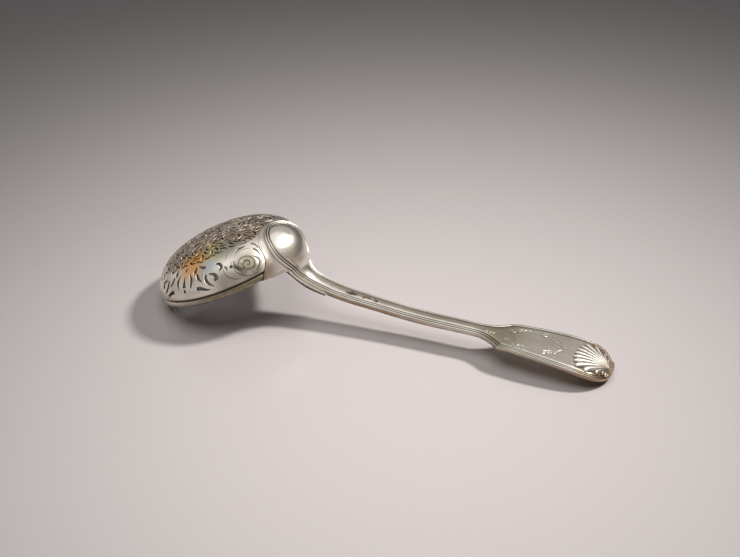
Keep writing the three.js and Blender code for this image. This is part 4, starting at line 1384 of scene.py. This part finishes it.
def shell_reach(turns, valley, in_fan, reach, tip_margin):
    """How far the shell runs in each direction: a rib to its own lobe, a fine line to the rim."""
    border = inset(spoon_outline, SHELL_BORDER)
    rim = inset(spoon_outline, tip_margin)

    def inside_border(station, across):
        return across < width_at(np.minimum(station, focus_station - SHELL_FOCUS), border)

    def inside_rim(station, across):
        within = across < np.minimum(width_at(station, rim), HINGE_HALF_WIDTH)
        return within & (station < FACE_LENGTH - tip_margin)

    fluted = longest(turns[in_fan & (valley == 0)], reach, inside_border)
    far = longest(turns, reach, inside_rim)
    per_rib = np.count_nonzero(in_fan) // SHELL_FLUTES
    far[in_fan] = np.repeat(fluted, per_rib)
    before = np.repeat(np.roll(fluted, 1), per_rib)
    shared = in_fan & (valley == 1)
    far[shared] = np.minimum(far[shared], before[shared[in_fan]])
    lobe = 0.5 * far * SHELL_FAN / SHELL_FLUTES
    return np.where(in_fan, far - lobe * (1 - np.sqrt(np.clip(1 - valley**2, 0, 1))), far)


def bent(turns, in_fan, share):
    """The directions at a share of the reach: the outer ends of the side flutes curl back."""
    sideways = np.clip(np.abs(turns) - CURL_TURN, 0, 1)
    outwards = np.clip((share - CURL_SHARE) / (1 - CURL_SHARE), 0, 1)
    return turns + np.where(in_fan, np.sign(turns) * FLUTE_CURL * outwards**1.5 * sideways, 0)


def shell_section(share, away, valley, in_fan, relief):
    """Height, dirt and tan at a share of the shell's reach, for each direction."""
    rib = np.sqrt(np.clip(1 - (valley / RIB_SHARE) ** 2, 0, 1))
    rib = np.where(in_fan, rib, 1 - valley**2)
    risen = levelled(np.clip(away / SHELL_CROWN_REACH, 0, 1))
    crown = relief * (SHELL_HUB + (1 - SHELL_HUB) * risen)
    depth = np.where(in_fan, FLUTE_DEPTH, FLUTE_DEPTH * 0.2) * min(1, share * 2.2)
    past_shoulder = max(0.0, share - SHELL_SHOULDER) / (1 - SHELL_SHOULDER)
    rounded = math.sqrt(max(0.0, 1 - past_shoulder**2))
    height = np.maximum((crown - depth * (1 - rib)) * (0.15 + 0.85 * rounded), SHELL_EDGE)
    gap = np.where(in_fan, np.clip((valley - 0.5) / 0.2, 0, 1) * 0.85, valley**2 * 0.8)
    tarnish_and_shade = np.where(in_fan, 0.5 * np.clip((SHELL_TAN[0] - away) / SHELL_TAN[1], 0, 1), 1.0)
    return height, gap * min(1, share * 3), tarnish_and_shade


def make_shell(name, node, material, reach, relief, height_of, tip_margin):
    """A scallop: ribs run out from a focus near the tip, and fine lines run on from there over the tip."""
    turns, valley, in_fan = shell_turns()
    far = shell_reach(bent(turns, in_fan, 1.0), valley, in_fan, reach, tip_margin)
    build = Builder()
    upper = []
    lower = []
    for share in SHELL_SHARES:
        heading = bent(turns, in_fan, share)
        away = far * share
        flat = np.stack([focus_station - away * np.cos(heading), away * np.sin(heading)], -1)
        height, dirt, tarnish_and_shade = shell_section(share, away, valley, in_fan, relief)
        upper.append(build.lay(flat, height_of(*flat.T, height), dirt, tarnish_and_shade))
        if share in (SHELL_SHARES[0], SHELL_SHARES[-1]):
            lower.append(build.lay(flat, height_of(*flat.T, SHELL_BASE), 0.9))
    hub = np.array([[focus_station, 0.0]])
    top = build.lay(hub, height_of(*hub.T, SHELL_HUB * relief), 0.0, 1.0)[0]
    base = build.lay(hub, height_of(*hub.T, SHELL_BASE))[0]
    for i in range(len(turns)):
        j = (i + 1) % len(turns)
        build.faces.append((top, upper[0][i], upper[0][j]))
        build.faces.append((base, lower[0][j], lower[0][i]))
    build.bridge(lower[0], lower[1], *upper[::-1])
    build.piece(name, node, material)


def on_face(station, across, height):
    """Height over the face line of something raised on the handle's face."""
    return height + SHELL_SEAT - face_fall(station, across)


def on_underside(station, across, height):
    """Height over the face line of something that hangs from the underside."""
    return -handle_depth(station, across) - height


# Room, lamps and camera
def make_floor():
    """A large plain table with a painted pool of light: its colour is palest near the spoon and darkens far
    from it.
    """
    corners = [(x * TABLE_HALF, y * TABLE_HALF, 0) for x, y in ((-1, -1), (1, -1), (1, 1), (-1, 1))]
    mesh = bpy.data.meshes.new("floor")
    mesh.from_pydata(corners, [], [(0, 1, 2, 3)])
    a = math.radians(CAMERA_AZIMUTH)
    sideways, away = PAINTED_POOL_CENTRE
    centre = (
        CAMERA_TARGET[0] + contact_x + sideways * math.cos(a) - away * math.sin(a),
        CAMERA_TARGET[1] + sideways * math.sin(a) + away * math.cos(a),
    )
    material, nodes, spot = surface("table_painted_light_pool")
    # painted light: the table's colour falls from pale near the spoon to dark far off
    tone = nodes.mix(nodes.bell(spot, centre, PAINTED_POOL_REACH, a), TABLE_PAINTED_DARK, TABLE_IN_PAINTED_POOL)
    dress(nodes, {"Base Color": tone, "Roughness": 0.25, "Specular IOR Level": 0.5})
    mesh.materials.append(material)
    floor = bpy.data.objects.new("floor", mesh)
    bpy.context.scene.collection.objects.link(floor)


def aim(azimuth, elevation):
    """A direction in the part's frame, from degrees."""
    a, e = math.radians(azimuth), math.radians(elevation)
    return (math.cos(a) * math.cos(e), math.sin(a) * math.cos(e), math.sin(e))


def look_from(obj, direction, distance, target=(0, 0, 0)):
    """Puts an object into the scene, away from its target in a direction and looking at it."""
    direction = Vector(direction).normalized()
    obj.location = Vector(target) + direction * distance
    obj.rotation_euler = direction.to_track_quat("Z", "Y").to_euler()
    bpy.context.scene.collection.objects.link(obj)


def make_lamp(name, direction, distance, size, power, in_metal, colour=LAMP_WHITE):
    """A round lamp that looks at the spoon. It shows in metal, or else it lights the table."""
    data = bpy.data.lights.new(name, "AREA")
    data.shape = "DISK"
    data.size = size
    data.energy = power
    data.color = colour
    lamp = bpy.data.objects.new(name, data)
    look_from(lamp, direction, distance)
    lamp.visible_glossy = in_metal
    lamp.visible_diffuse = not in_metal


def make_world():
    """A dim even room. Metal sees pale walls, a dark end beyond the table and soft white overhead."""
    world = bpy.data.worlds.new("studio")
    bpy.context.scene.world = world
    world.use_nodes = True
    nodes = Nodes(world.node_tree)
    direction = nodes.add("TexCoord")["Generated"]
    up = aim(0, 90)
    tone = nodes.mix(nodes.towards(direction, up, 0.0, 0.7), ROOM_WALL, ROOM_TOP)
    beyond = nodes.towards(direction, aim(*DIM_SIDE), 0.0, 1.0)
    low_down = nodes.towards(direction, up, 0.5, 0.2)
    tone = nodes.mix(nodes.times(beyond, low_down), tone, ROOM_DIM)
    tone = nodes.mix(nodes.towards(direction, aim(*BRIGHT_SIDE), 0.72, 0.92), tone, ROOM_SIDE)
    tone = nodes.mix(nodes.towards(direction, up, 0.74, 0.88), tone, ROOM_WHITE)
    room = nodes.add("Background", {"Color": ROOM_LIGHT, "Strength": ROOM_STRENGTH})
    seen = nodes.add("Background", {"Color": tone})
    path = nodes.add("LightPath")
    shown = nodes.maths("MAXIMUM", path["Is Camera Ray"], path["Is Glossy Ray"])
    nodes.add("OutputWorld", {0: nodes.add("MixShader", {0: shown, 1: room[0], 2: seen[0]})[0]})


def make_camera():
    """The camera of the photograph."""
    data = bpy.data.cameras.new("camera")
    data.sensor_width = SENSOR
    data.lens = SENSOR * PIXELS_PER_MM * CAMERA_DISTANCE / PHOTO_WIDTH
    camera = bpy.data.objects.new("camera", data)
    target = (Vector(CAMERA_TARGET) + Vector((contact_x, 0, 0))) * MM
    look_from(camera, aim(CAMERA_AZIMUTH - 90, CAMERA_ELEVATION), CAMERA_DISTANCE * MM, target)
    bpy.context.scene.camera = camera


def wall_spot(degrees, length, offset=0.0):
    """A place on the bowl, or a little off it."""
    return tuple(on_bowl(math.radians(degrees), length, offset))


def face_spot(station, across):
    """A place on the handle's face."""
    return tuple(place(station, across, 0.0))


bowl_silver = silver("bowl_silver", (0.88, 0.81, 0.72), roughness=0.25, age=0.35, patches=[
    (wall_spot(-69, 23.0), 7, 5, STRAW, 0.55),
    (wall_spot(-92, 16.5), 6.5, 4, AMBER, 0.8),
    (wall_spot(-72, 13.0), 3, 2, SKY, 0.65),
    (wall_spot(-50, 19.5), 6, 4, GREY_FILM, 0.8),
    (wall_spot(-42, 5.0), 6, 3, PATINA_AND_PAINTED_SHADE, 0.9),
    # Painted shade: the low wall beside the band is darkened where it faces the shadowed table.
    (wall_spot(-60, 2.5), 6, 4, PATINA_AND_PAINTED_SHADE, 0.7),
])
band_silver = silver("band_silver", (0.80, 0.72, 0.60), roughness=0.22, age=0.5, patches=[
    # Painted shade: the band's right end is browned where it faces down towards the shadowed table.
    (wall_spot(-58, 0.0), 22, 12, BROWN_PAINTED_SHADE, 0.95),
])
saddle_silver = silver("saddle_silver", (0.87, 0.82, 0.73), roughness=0.19, age=0.35, patches=[
    (wall_spot(-37, 1.0, 1.0), 8, 5, TARNISH_AND_SHADE_BROWN, 1.0),
])
handle_silver = silver("handle_silver", (0.88, 0.83, 0.75), roughness=0.18, age=0.45, patches=[
    (face_spot(station_at(30.0), 0.0), 22, 10, OLIVE, 0.25),
    (face_spot(station_at(49.0), 0.0), 9, 6, OLIVE, 0.75),
    (face_spot(drop_middle + 5.0, -7.0), 6, 4, OLIVE, 0.5),
    (face_spot(station_at(3.0), -5.0), 9, 5, TARNISH_AND_SHADE_BROWN, 1.0),
    (face_spot(station_at(8.0), -9.5), 6, 3, TARNISH_AND_SHADE_BROWN, 0.9),
    (face_spot(station_at(8.0), 9.5), 6, 3, TARNISH_AND_SHADE_BROWN, 0.9),
])
shell_silver = silver("shell_silver", (0.88, 0.82, 0.73), roughness=0.22, age=0.3)
under_silver = silver("under_silver", (0.80, 0.74, 0.64), roughness=0.28, age=0.4)

make_bowl(bowl_silver)
make_band(band_silver)
make_saddle(saddle_silver)
make_handle(handle_silver)
make_shell("tip_shell", "shell_back", shell_silver, SHELL_REACH, SHELL_RELIEF, on_face, SHELL_MARGIN)
make_shell(
    "under_shell",
    "shell_front",
    under_silver,
    UNDER_SHELL_REACH,
    UNDER_SHELL_RELIEF,
    on_underside,
    UNDER_SHELL_MARGIN,
)

make_floor()
make_world()
make_lamp("key", KEY_DIRECTION, LAMP_DISTANCE, size=0.24, power=23.2, in_metal=False, colour=KEY_WHITE)
make_lamp("overhead", OVERHEAD_DIRECTION, OVERHEAD_DISTANCE, size=1.6, power=10.6, in_metal=False)
make_lamp("softbox", aim(*SOFTBOX_SIDE), LAMP_DISTANCE, size=1.25, power=13.0, in_metal=True)
make_lamp("glint", KEY_DIRECTION, LAMP_DISTANCE, size=0.3, power=4.5, in_metal=True)
make_camera()

scene = bpy.context.scene
scene.view_settings.view_transform = "Standard"
